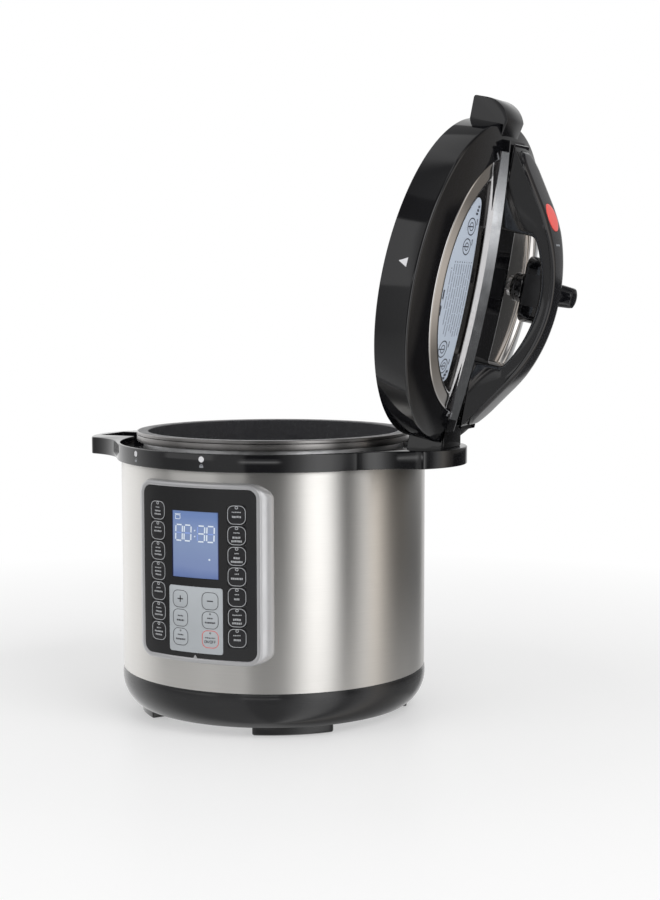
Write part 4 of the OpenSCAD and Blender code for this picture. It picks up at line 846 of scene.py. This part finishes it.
# ---------------------------------------------------------------- steam valve and lid inside
def valve():
    """The steam valve, which stands in the far window: a body, a lever and a fluted knob."""
    def at(p):
        return at_lid((p[0] - 3.0, p[1] + 48.0, p[2]))
    body = [(0.3, 46), (12.2, 46), (13, 47), (13, 49), (12.2, 49.6), (12.2, 51), (13, 51.6), (13, 55), (12.2, 56.2),
            (0.3, 56.2)]
    radii = [0, 0.5, 0.5, 0.4, 0.3, 0.3, 0.4, 0.6, 0.5, 0]
    revolve("valve_body", fillet(body, radii, 3), "gloss", "valve", 64, at)
    plan = arc((19, 0), 10.6, -90, 90, 16) + arc((-19, 0), 10.6, 90, 270, 16)
    prism("valve_lever", plan, 56.2, 77.8, "gloss", "valve", at, bevel=1.6, seg=4)
    waist = fillet([(-16, -11.05), (16, -11.05), (12, -9.4), (-12, -9.4)], 0.8, 3)
    for s in (-1, 1):
        prism(f"valve_grip_{ab(s)}", [(x, s * y) for x, y in waist], 58, 75.5, "matte", "valve", at, bevel=0.4)
    rows, fluted = [], range(2, 6)
    prof = ((3, 77.4), (10.7, 77.4), (11, 78.4), (10.7, 84), (10.2, 92), (9.4, 100.6), (8.5, 102.2),
            (7, 102.9), (3, 103))
    for k, (r, z) in enumerate(prof):
        row = []
        for t in [2 * PI * j / 72 for j in range(72)]:
            q = r - 0.8 * (0.5 * (1 + math.cos(8 * t)) if k in fluted else 0)
            row.append((q * math.cos(t), q * math.sin(t), z))
        rows.append(row)
    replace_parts(loft("valve_knob", rows, "gloss2", "valve", at, 45), "steam_valve")


def lid_inside():
    """The sealing ring, the plate that holds it, its nut, and the dome's rolled rim."""
    seal = [(118, 7), (129.3, 7), (129.3, 18), (118, 18), (118, 11.7), (121.6, 11.7), (121.6, 10.3), (118, 10.3)]
    outline = fillet(seal, [1.6, 1.0, 1.6, 2.4, 0.3, 0.2, 0.2, 0.3], 4)
    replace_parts(revolve("seal_ring", outline, "rubber", "lid", where=at_lid), "sealing_ring")
    soft("seal_rack", "rack_plate", "mirror", "lid", 0.25)
    prof = fillet([(4.2, 4.6), (10.2, 4.6), (11, 5.6), (11, 9.4), (9.6, 10.4), (4.2, 10.4)], 0.4, 2)
    rows = []
    for t in [2 * PI * j / 96 for j in range(96)]:
        flute = 0.7 * max(0.0, math.cos(12 * t)) ** 2
        radii = [r - (flute if r > 9 else 0) for r, z in prof]
        rows.append([(r * math.cos(t), r * math.sin(t), z) for r, (_, z) in zip(radii, prof)])
    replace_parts(ring("rack_knob", rows, "zinc", "lid", at_lid), "rack_nut")
    soft("anti_block_cap", "anti_block_shell", "mirror", "lid", 0.3)
    revolve("dome_rolled_edge", rounded(129.7, -3.9, 131, -1.2, 0.62, 5), "mirror", "lid", 200, at_lid)


# ---------------------------------------------------------------- control panel
PZ0, PZ1, PHW = 71.0, 220.3, 57.5  # the panel's lower and upper edge, and half its width
LCD_HW, LCD_Z0, LCD_Z1 = 23.4, 141.4, 199.9
STRIP = 4.0  # widest flat strip on the panel's curve


def curved(name, outline, lo, hi, mat, body, bevel=0.0):
    """A flat outline made solid, cut into strips and wrapped onto the panel's curve."""
    bm = slab(outline, "y", lo, hi, bevel, 2, (1,))
    a, b = min(p[0] for p in outline), max(p[0] for p in outline)
    k = math.ceil((b - a) / STRIP)
    for i in range(1, k):
        geom = bm.verts[:] + bm.edges[:] + bm.faces[:]
        bmesh.ops.bisect_plane(bm, geom=geom, dist=1e-6, plane_co=(a + (b - a) * i / k, 0, 0), plane_no=(1, 0, 0))
    return piece(name, *unpacked(bm), mat, body, at_panel)


class Print:
    """Thin printed marks on the panel, gathered into one mesh."""

    def __init__(self, z=0.02, t=0.1):
        self.v, self.f, self.z, self.t = [], [], z, t

    def poly(self, pts):
        """A small filled shape; pts in (s, z)."""
        n, k = len(pts), len(self.v)
        self.v += [(s, self.z - self.t, z) for s, z in pts] + [(s, self.z + self.t, z) for s, z in pts]
        self.f += [tuple(range(k + n - 1, k - 1, -1)), tuple(range(k + n, k + 2 * n))]
        self.f += [(k + i, k + (i + 1) % n, k + n + (i + 1) % n, k + n + i) for i in range(n)]

    def bar(self, s0, z0, s1, z1):
        self.poly([(s0, z0), (s1, z0), (s1, z1), (s0, z1)])

    def line(self, p, q, w):
        """A stroke from p to q, w wide."""
        dx, dz = q[0] - p[0], q[1] - p[1]
        k = w / 2 / math.hypot(dx, dz)
        nx, nz = -dz * k, dx * k
        self.poly([(p[0] + nx, p[1] + nz), (q[0] + nx, q[1] + nz), (q[0] - nx, q[1] - nz), (p[0] - nx, p[1] - nz)])

    def ring(self, outer, inner):
        """A closed band between two outlines of as many points."""
        n, k = len(outer), len(self.v)
        for pts, d in ((outer, self.t), (inner, self.t), (inner, -self.t), (outer, -self.t)):
            self.v += [(s, self.z + d, z) for s, z in pts]
        for a in range(4):
            b = (a + 1) % 4
            self.f += [(k + a * n + i, k + a * n + j, k + b * n + j, k + b * n + i)
                       for i, j in ((i, (i + 1) % n) for i in range(n))]

    def loop(self, cx, cz, w, h, r, width):
        """The outline of a rounded box, drawn inwards."""
        self.ring(squircle(cx, cz, w, h, r), squircle(cx, cz, w, h, r, -width))

    def make(self, name, mat, body):
        return piece(name, self.v, self.f, mat, body, at_panel, smooth=False)


def squircle(cx, cz, w, h, r, grow=0.0):
    """A rounded box about a middle, grown outwards."""
    hw, hh = w / 2 + grow, h / 2 + grow
    return rounded(cx - hw, cz - hh, cx + hw, cz + hh, max(0.3, r + grow), 8)


def bezel():
    """The panel's silver frame, whose sides run out onto the body, and the nick under it."""
    prof = [(0, -2.2), (0, -0.35), (0.18, -0.02), (0.55, 0.2), (1.2, 0.36), (2.2, 0.42), (3.2, 0.32), (3.9, 0.02),
            (4.3, -0.45)]
    corner, n, cuts = 8.0, 10, 16
    cx, z0, z1 = PHW - corner, PZ0 + corner, PZ1 - corner
    line = []
    for x, z, a0 in ((cx, z0, -90), (cx, z1, 0), (-cx, z1, 90), (-cx, z0, 180)):
        line += [(x, z, math.cos(a), math.sin(a)) for a in (math.radians(a0 + 90 * i / n) for i in range(n + 1))]
    full = []
    for p, q in zip(line, line[1:] + line[:1]):
        full.append(p)
        if abs(p[2] - q[2]) < 1e-9 and abs(p[3] - q[3]) < 1e-9:
            run = (q[0] - p[0], q[1] - p[1])
            full += [(p[0] + run[0] * k / cuts, p[1] + run[1] * k / cuts, *p[2:]) for k in range(1, cuts)]
    rows = []
    for mx, mz, nx, nz in full:
        row = [at_panel((mx + nx * (corner + o), d, mz + nz * (corner + o))) for o, d in prof]
        ex, ey, ez = row[-1]
        fx, fz = ex - PX + 6.9 * nx * abs(nx), ez + 0.9 * nz * abs(nz)
        fy = -math.sqrt((BODY_R + 0.05) ** 2 - fx * fx)
        for t in [k / 6 for k in range(1, 7)]:
            bulge = math.sin(PI * t) * 0.9 * abs(nx)
            x = ex + (fx + PX - ex) * t + bulge * nx * 0.6
            row.append((x, ey + (fy + PY - ey) * t - bulge, ez + (fz - ez) * t))
        iy = -math.sqrt((BODY_R - 1.5) ** 2 - fx * fx)
        row.append((fx + PX - 0.6 * nx, iy + PY, fz - 0.6 * nz))
        row.append(at_panel((mx + nx * (corner + 0.6), -3.4, mz + nz * (corner + 0.6))))
        rows.append(row)
    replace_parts(ring("bezel_frame", rows, "silver", "body", sharp=50), "panel_bezel")
    nick = [(-2.1, PZ0 - 0.3), (2.1, PZ0 - 0.3), (0.25, PZ0 + 2.6), (-0.25, PZ0 + 2.6)]
    curved("bezel_nick", nick, -1, 0.3, "silver", "body", 0.15)


def words(pr, rng, cx, cz, widths, h=1.25, pitch=2.9):
    """Rows of small dashes standing for a key's words."""
    for i, total in enumerate(widths):
        z = cz - i * pitch
        s = cx - total / 2
        while s < cx + total / 2 - 0.3:
            w = min(float(rng.uniform(0.7, 1.6)), cx + total / 2 - s)
            dz = float(rng.uniform(-0.12, 0.12))
            pr.bar(s, z - h / 2 + dz, s + w, z + h / 2 + dz)
            s += w + 0.42


KEY_PITCH, PAD_PITCH = 17.9, 16.8
PAD_Z0, PAD_Z1 = 75.5, 133.9
PAD_FACE = 0.34  # how far the silver keys stand out
# strokes of the letters, from corner to corner of a unit box
LETTERS = {"O": [(0, 0, 0, 1), (0, 1, 1, 1), (1, 1, 1, 0), (1, 0, 0, 0)],
           "N": [(0, 0, 0, 1), (0, 1, 1, 0), (1, 0, 1, 1)],
           "F": [(0, 0, 0, 1), (0, 1, 1, 1), (0, 0.52, 0.8, 0.52)], "/": [(0, 0, 1, 1)]}


def write(pr, text, s, z, height, stroke):
    """Plain stroke letters from a starting point on the panel."""
    for ch in text:
        w = 0.9 if ch == "/" else 1.35
        for x0, z0, x1, z1 in LETTERS[ch]:
            pr.line((s + x0 * w, z + z0 * height), (s + x1 * w, z + z1 * height), stroke)
        s += w + 0.62


def side_keys(rng):
    """Seven black keys on each side, each with an outline, a small mark and rows of dashes."""
    rows = ((5, 6), (7.5,), (6, 7), (6.5, 5), (8,), (5.5, 8), (9, 6.5))
    for side, s in (("left", -40), ("right", 40)):
        for i in range(7):
            z = PZ1 - 13.4 - 8.4 - i * KEY_PITCH
            body = f"key_{side}_{i + 1}"
            outline = rounded(s - 8.5, z - 8.4, s + 8.5, z + 8.4, 2.6, 5)
            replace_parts(curved(f"cap_{side}_{i + 1}", outline, -1.9, 0.0, "key", body, 0.22), body)
            pr = Print()
            pr.loop(s, z, 16.5, 16.3, 5.4, 0.55)
            pr.loop(s, z + 6.4, 3.0, 2.7, 1.3, 0.62)
            if side == "right":
                words(pr, rng, s, z + 2.4, (float(rng.uniform(3, 9)),), 0.9)
                widths = [float(rng.uniform(5, 11)) for _ in range(1 + (i in (1, 2, 5)))]
                words(pr, rng, s, z - 1.6, widths, 1.7, 3.2)
            else:
                words(pr, rng, s, z + 2.6, (float(rng.uniform(4, 8)),), 0.9)
                words(pr, rng, s, z - 0.6, [min(10, w + 1.5) for w in rows[i]], 1.3, 2.9)
            pr.make(f"print_{side}_{i + 1}", "line", body)


def pad_keys(rng):
    """The silver field with six keys: plus, minus, three plain ones and the red ON/OFF."""
    plate = curved("pad_plate", rounded(-27, PAD_Z0, 27, PAD_Z1, 2.4, 5), -1.9, 0.3, "pad", "body", 0.25)
    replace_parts(plate, "panel_pad")
    spots = [(sx * 15, PAD_Z0 + 5.2 + 15.9 / 2 + (2 - i) * PAD_PITCH) for sx in (-1, 1) for i in range(3)]
    for k, (s, z) in enumerate(spots):
        body = f"key_pad_{k + 1}"
        outline = rounded(s - 8.2, z - 7.95, s + 8.2, z + 7.95, 2.6, 5)
        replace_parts(curved(f"cap_pad_{k + 1}", outline, -1.6, PAD_FACE, "pad", body, 0.2), body)
        pr = Print(PAD_FACE, 0.08)
        pr.loop(s, z, 16.0, 15.5, 5.4, 0.5)
        if k == 5:
            pr.make("print_pad_6", "red_line", body)
            pr = Print(PAD_FACE, 0.08)
            write(pr, "ON/OFF", s - 5.4, z - 3.4, 2.3, 0.36)
            words(pr, rng, s, z + 1.2, (9.5,), 0.9)
            pr.loop(s, z + 5.4, 1.8, 1.5, 0.7, 0.45)
            pr.make("print_pad_6_words", "pad_ink", body)
            continue
        if k in (0, 3):
            pr.bar(s - 2.9, z - 0.5, s + 2.9, z + 0.5)
            if k == 0:
                pr.bar(s - 0.5, z - 2.9, s + 0.5, z + 2.9)
        else:
            words(pr, rng, s, z + 1.7, (float(rng.uniform(5, 7)),), 1.1)
            words(pr, rng, s, z - 2.2, (float(rng.uniform(7, 10)),), 1.4)
            if k != 1:
                pr.loop(s, z + 5.4, 1.8, 1.5, 0.7, 0.45)
        pr.make(f"print_pad_{k + 1}", "pad_ink", body)


def screen():
    """The display: its glass, a border, four digits with their unlit strokes, and a small pot picture."""
    w, z0, z1 = LCD_HW, LCD_Z0, LCD_Z1
    curved("lcd_glass", rounded(-w + 0.1, z0 + 0.1, w - 0.1, z1 - 0.1, 0.4, 2), -1.2, -0.35, "lcd", "body", 0.1)
    pr = Print(-0.33, 0.05)
    for border in ((-w, z0, w, z0 + 0.9), (-w, z1 - 0.9, w, z1), (-w, z0, -w + 0.7, z1), (w - 0.7, z0, w, z1)):
        pr.bar(*border)
    pr.make("lcd_edge", "lcd_rim", "body")
    lit = {"0": "abcdef", "3": "abgcd"}
    digits, ghosts = Print(-0.32, 0.06), Print(-0.335, 0.03)
    mid, h, w, end, gap, lean = 180.6, 6.9, 7.0, 0.9, 0.7, 0.04
    strokes = {"a": (end, h, w - end, h), "d": (end, -h, w - end, -h), "g": (end, 0, w - end, 0),
               "f": (0, h - end, 0, gap), "b": (w, h - end, w, gap), "e": (0, -gap, 0, -h + end),
               "c": (w, -gap, w, -h + end)}
    for ch, s in zip("0030", (-19.6, -10.6, 3.0, 12.2)):
        for k, (x0, y0, x1, y1) in strokes.items():
            pr = digits if k in lit[ch] else ghosts
            pr.line((s + x0 + lean * y0, mid + y0), (s + x1 + lean * y1, mid + y1), 1.15)
    for dz in (-2.6, 2.6):
        digits.poly(circle((0.2, mid + dz), 0.65, 10))
    digits.ring(rounded(-20, 192.2, -14.6, 196.2, 0.8, 3), rounded(-19.5, 192.7, -15.1, 195.7, 0.5, 3))
    digits.bar(-20.4, 196.6, -14.2, 197.1)
    digits.poly(circle((14.5, 158.4), 0.9, 10))
    digits.make("lcd_digits", "digit", "body")
    ghosts.make("lcd_ghosts", "ghost", "body")


# ---------------------------------------------------------------- back and underside
def back():
    """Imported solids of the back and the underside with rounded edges, and the inlet's pins and screws."""
    soft("cup_bracket", "cup_bracket_shell", "gloss2", "body", 0.9, 3)
    soft("condensate_cup", "cup_shell", "smoke", "cup", 0.8, 3)
    soft("mains_inlet", "inlet_shell", "matte", "body", 0.7, 3)
    soft("bottom_plate", "bottom_cover", "zinc", "body", 0.3)
    soft("base_screws", "base_screw_heads", "zinc", "body", 0.25)
    y, mid = BODY_R + 2 - 14.5, WRAP_Z0 + 17
    for i, (x, z) in enumerate(((-7, mid - 1), (0, mid + 3), (7, mid - 1))):
        pin = rounded(x - 1.15, z - 2.2, x + 1.15, z + 2.2, 0.5, 3)
        prism(f"inlet_pin_{i + 1}", pin, y, y + 10.6, "brass", "body", at_pot, "y", 0.4)
    for i, x in enumerate((-22, 22)):
        y = math.sqrt(BODY_R ** 2 - x * x)
        prism(f"inlet_screw_{i + 1}", arc((x, mid), 2.4, 0, 345, 23), y - 1, y + 0.9, "zinc", "body", at_pot, "y")


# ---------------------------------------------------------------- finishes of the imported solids
def glow_screen(m, stops, emit, scale, fade):
    """Makes a material glow: its colour follows the height on the screen, broken up by noise."""
    nt = m.node_tree
    place = node(nt, "ShaderNodeTexCoord").outputs["Object"]
    height = node(nt, "ShaderNodeSeparateXYZ", {0: place}).outputs["Z"]
    height = ranged(nt, height, 0, 1, LCD_Z0 * MM, LCD_Z1 * MM)
    cloud = calc(nt, "MULTIPLY_ADD", noise(nt, scale, (1, 1, 1.6), 4.0), fade, height)
    glow = coloured_ramp(nt, cloud, stops)
    fill(nt, nt.nodes["Principled BSDF"], {"Base Color": glow, "Emission Color": glow, "Emission Strength": emit})


glow_screen(M["lcd"], [(0.0, (0.075, 0.12, 0.29)), (0.22, (0.15, 0.20, 0.36)), (0.55, (0.17, 0.225, 0.37)),
                       (0.8, (0.15, 0.205, 0.36)), (1.0, (0.10, 0.16, 0.33))], 0.38, 28, 0.12)

PACKED = {"matte": "base_ring feet mains_inlet", "steel": "body_wrap", "coating": "inner_pot", "dark": "lcd_module",
          "zinc": "bottom_plate base_screws support_frame heating_tube sensor_spring rack_nut vent_pipe lock_slider "
                  "lid_screws",
          "gloss": "collar panel_cover lid_cover handle_body steam_valve",
          "alu": "outer_pot heating_plate sensor_button",
          "ceramic": "thermal_fuse pressure_switch", "board": "power_board control_board", "silver": "panel_bezel",
          "pad": "panel_pad", "gloss2": "cup_bracket", "smoke": "condensate_cup", "label": "lid_label",
          "mirror": "lid_dome seal_rack anti_block_cap", "strip": "handle_cover", "red": "pressure_indicator",
          "float": "float_seal", "rubber": "sealing_ring"}
FINISH = {name: key for key, names in PACKED.items() for name in names.split()}
for name, ob in NODES.items():
    ob.data.materials.clear()
    ob.data.materials.append(M[FINISH.get(name) or ("pad" if name.startswith("key_pad") else "key")])
for name in ("lid_dome", "seal_rack"):
    me = NODES[name].data
    me.polygons.foreach_set("use_smooth", [p.use_smooth and p.area < WIDE for p in me.polygons])

base()
wrap()
collar()
marks()
pots()
lid_skirt()
bridge()
handle_arch()
handle_strip()
indicator()
label()
valve()
lid_inside()
bezel()
key_rng = np.random.default_rng(11)
side_keys(key_rng)
pad_keys(key_rng)
screen()
back()


# ---------------------------------------------------------------- room
TOP = 2.0  # brightest level of the room's ramps
WARM = (1, 0.93, 0.85)
# the room's brightness by azimuth: what glossy surfaces see, in degrees from the camera's direction to its right
AROUND_ROOM = [(-180, .9), (-150, 1.1), (-125, 1.0), (-112, .75), (-100, .5), (-85, .3), (-70, .32), (-45, .45),
               (-28, .45), (-22, .4), (-19.5, .04), (-3, .04), (3, .08), (10, .32), (18, .75), (25, 1.35), (32, 1.65),
               (41, 1.5), (48, .95), (52, .4), (56, .08), (63, .3), (72, .8), (82, 1.0, WARM), (90, .55, WARM),
               (99, .2, WARM), (112, .2, WARM), (130, .25), (150, .5), (180, .9)]
# by elevation: a dark band high up, and the thin lights that the bridge's strip mirrors
HIGH = [(-90, 1), (36, 1), (39.5, 1), (40.5, .25), (55, .25), (57, .6), (90, .6)]
LOW = [(-16, .05), (-11.5, .05), (-10, .08), (-8.6, .03), (-7, .08), (-5.6, .25), (-4.6, .55), (-3.9, 1.15),
       (-3.0, 1.5), (-2.3, 1.2), (-1.6, .6), (-0.9, .2), (0.4, .3), (2, 0)]


def mix_shader(nt, fac, a, b):
    """From shader a to shader b as fac goes from 0 to 1."""
    return node(nt, "ShaderNodeMixShader", {0: fac, 1: a, 2: b}).outputs[0]


def studio():
    """White to the camera; to glossy surfaces a room with soft panels, laid out around the camera's direction."""
    w = bpy.data.worlds.new("studio")
    bpy.context.scene.world = w
    w.use_nodes = True
    nt = w.node_tree
    nt.nodes.clear()
    ray = node(nt, "ShaderNodeTexCoord").outputs["Generated"]

    def dot(v):
        return node(nt, "ShaderNodeVectorMath", {0: ray, 1: tuple(v)}, operation="DOT_PRODUCT").outputs["Value"]

    def times(*args):
        return calc(nt, "MULTIPLY", *args)

    def levels(fac, stops):
        """Brightness, as a share of TOP, by place; a stop may carry a tint."""
        lo, hi = stops[0][0], stops[-1][0]
        shares = []
        for place, level, *tint in stops:
            shares.append(((place - lo) / (hi - lo), [level * c / TOP for c in (tint[0] if tint else (1, 1, 1))]))
        return coloured_ramp(nt, ranged(nt, fac, 0, 1, lo, hi), shares)

    def window(x, a, b, edge):
        """1 between a and b, 0 outside, with soft edges."""
        rise = ranged(nt, x, 0, 1, a - edge / 2, a + edge / 2, interpolation_type="SMOOTHSTEP")
        return times(rise, ranged(nt, x, 1, 0, b - edge / 2, b + edge / 2, interpolation_type="SMOOTHSTEP"))

    def background(**ins):
        return node(nt, "ShaderNodeBackground", {"Color": (1, 1, 1, 1), **ins}).outputs[0]
    az = times(calc(nt, "ARCTAN2", dot(side), dot(-to_pot)), 180 / PI)
    el = times(calc(nt, "ARCSINE", dot((0, 0, 1))), 180 / PI)
    # a dark opening low on the right, then a pale wall on the left, a panel on the right and the low lights
    opening = times(window(az, 104, 152, 6), window(el, -26, -2, 3))
    level = times(times(levels(el, HIGH), TOP), calc(nt, "SUBTRACT", 1.0, times(opening, 0.85)))
    around = background(Color=levels(az, AROUND_ROOM), Strength=times(level, TOP))
    more = times(times(window(az, -84, -44, 6), window(el, -2, 39.8, 1)), 0.45)
    more = calc(nt, "ADD", more, times(times(window(az, 22, 44, 8), window(el, 10, 36, 3)), 0.6))
    more = calc(nt, "ADD", more, times(times(window(az, -24, 4, 6), levels(el, LOW)), 2.3))
    room = node(nt, "ShaderNodeAddShader", {0: around, 1: background(Strength=more)}).outputs[0]
    rays = node(nt, "ShaderNodeLightPath").outputs
    see = calc(nt, "MAXIMUM", rays["Is Camera Ray"], rays["Is Transmission Ray"])
    lit = mix_shader(nt, rays["Is Glossy Ray"], background(Strength=0.62), room)
    node(nt, "ShaderNodeOutputWorld", {"Surface": mix_shader(nt, see, lit, background())})


def area_lamp(name, azimuth, height, dist, size, power):
    """A soft square lamp that faces the object's middle; azimuth is from the camera's direction, to its right."""
    a = math.radians(azimuth)
    at = Vector((*AXIS, 0)) * MM + (-to_pot * math.cos(a) + side * math.sin(a)) * dist + Vector((0, 0, height))
    data = bpy.data.lights.new(name, "AREA")
    data.size, data.energy = size, power
    ob = bpy.data.objects.new(name, data)
    bpy.context.scene.collection.objects.link(ob)
    aim = Vector((0, 0, 0.2)) - at
    ob.matrix_world = Matrix.Translation(at) @ aim.to_track_quat("-Z", "Y").to_matrix().to_4x4()
    ob.visible_glossy = False


FLOOR_Z = -0.0006
FLOOR_GLOW = 0.4  # where the table top starts to melt into white, m from the pot's axis


def floor():
    """A pale round table top; it melts into the white around it, and lets reflections see past its edge."""
    mid = (AXIS[0] * MM, AXIS[1] * MM)
    radii = (0.1, 0.2, 0.3, 0.4, 0.5, 0.6, 0.7, 0.8, 0.9, 1.0, 1.2, 1.5)
    v, f = loops([[(x, y, FLOOR_Z) for x, y in circle(mid, r, 96)] for r in radii], (True, False))
    me = bpy.data.meshes.new("floor")
    me.from_pydata(v, [], f)
    ob = bpy.data.objects.new("floor", me)
    bpy.context.scene.collection.objects.link(ob)
    m = material("floor_white", (0.93, 0.93, 0.93), 0.45, vary=0.01, scale=2, spec=0.3)
    nt = m.node_tree
    place = node(nt, "ShaderNodeTexCoord").outputs["Object"]
    off = node(nt, "ShaderNodeVectorMath", {0: place, 1: (*mid, 0)}, operation="SUBTRACT").outputs[0]
    far = node(nt, "ShaderNodeVectorMath", {0: off}, operation="LENGTH").outputs["Value"]
    glow = ranged(nt, far, FLOOR_GLOW, 1.0, 0.35, 0.95)
    edge = ranged(nt, far, 0.6, 1.0, 0.2, 0.7)
    rays = node(nt, "ShaderNodeLightPath").outputs
    seen = calc(nt, "MAXIMUM", rays["Is Glossy Ray"], rays["Is Transmission Ray"])
    seen = calc(nt, "MULTIPLY", calc(nt, "MAXIMUM", rays["Is Camera Ray"], seen), glow)
    bright = node(nt, "ShaderNodeEmission").outputs[0]
    body = mix_shader(nt, seen, nt.nodes["Principled BSDF"].outputs[0], bright)
    clear = node(nt, "ShaderNodeBsdfTransparent").outputs[0]
    body = mix_shader(nt, calc(nt, "MULTIPLY", rays["Is Glossy Ray"], edge), body, clear)
    fill(nt, nt.nodes["Material Output"], {"Surface": body})
    me.materials.append(m)


studio()
floor()
area_lamp("key_lamp", 40, 1.9, 1.9, 1.6, 26)
area_lamp("fill_lamp", -60, 1.5, 2.0, 1.6, 10)
bpy.context.scene.view_settings.view_transform = "Standard"
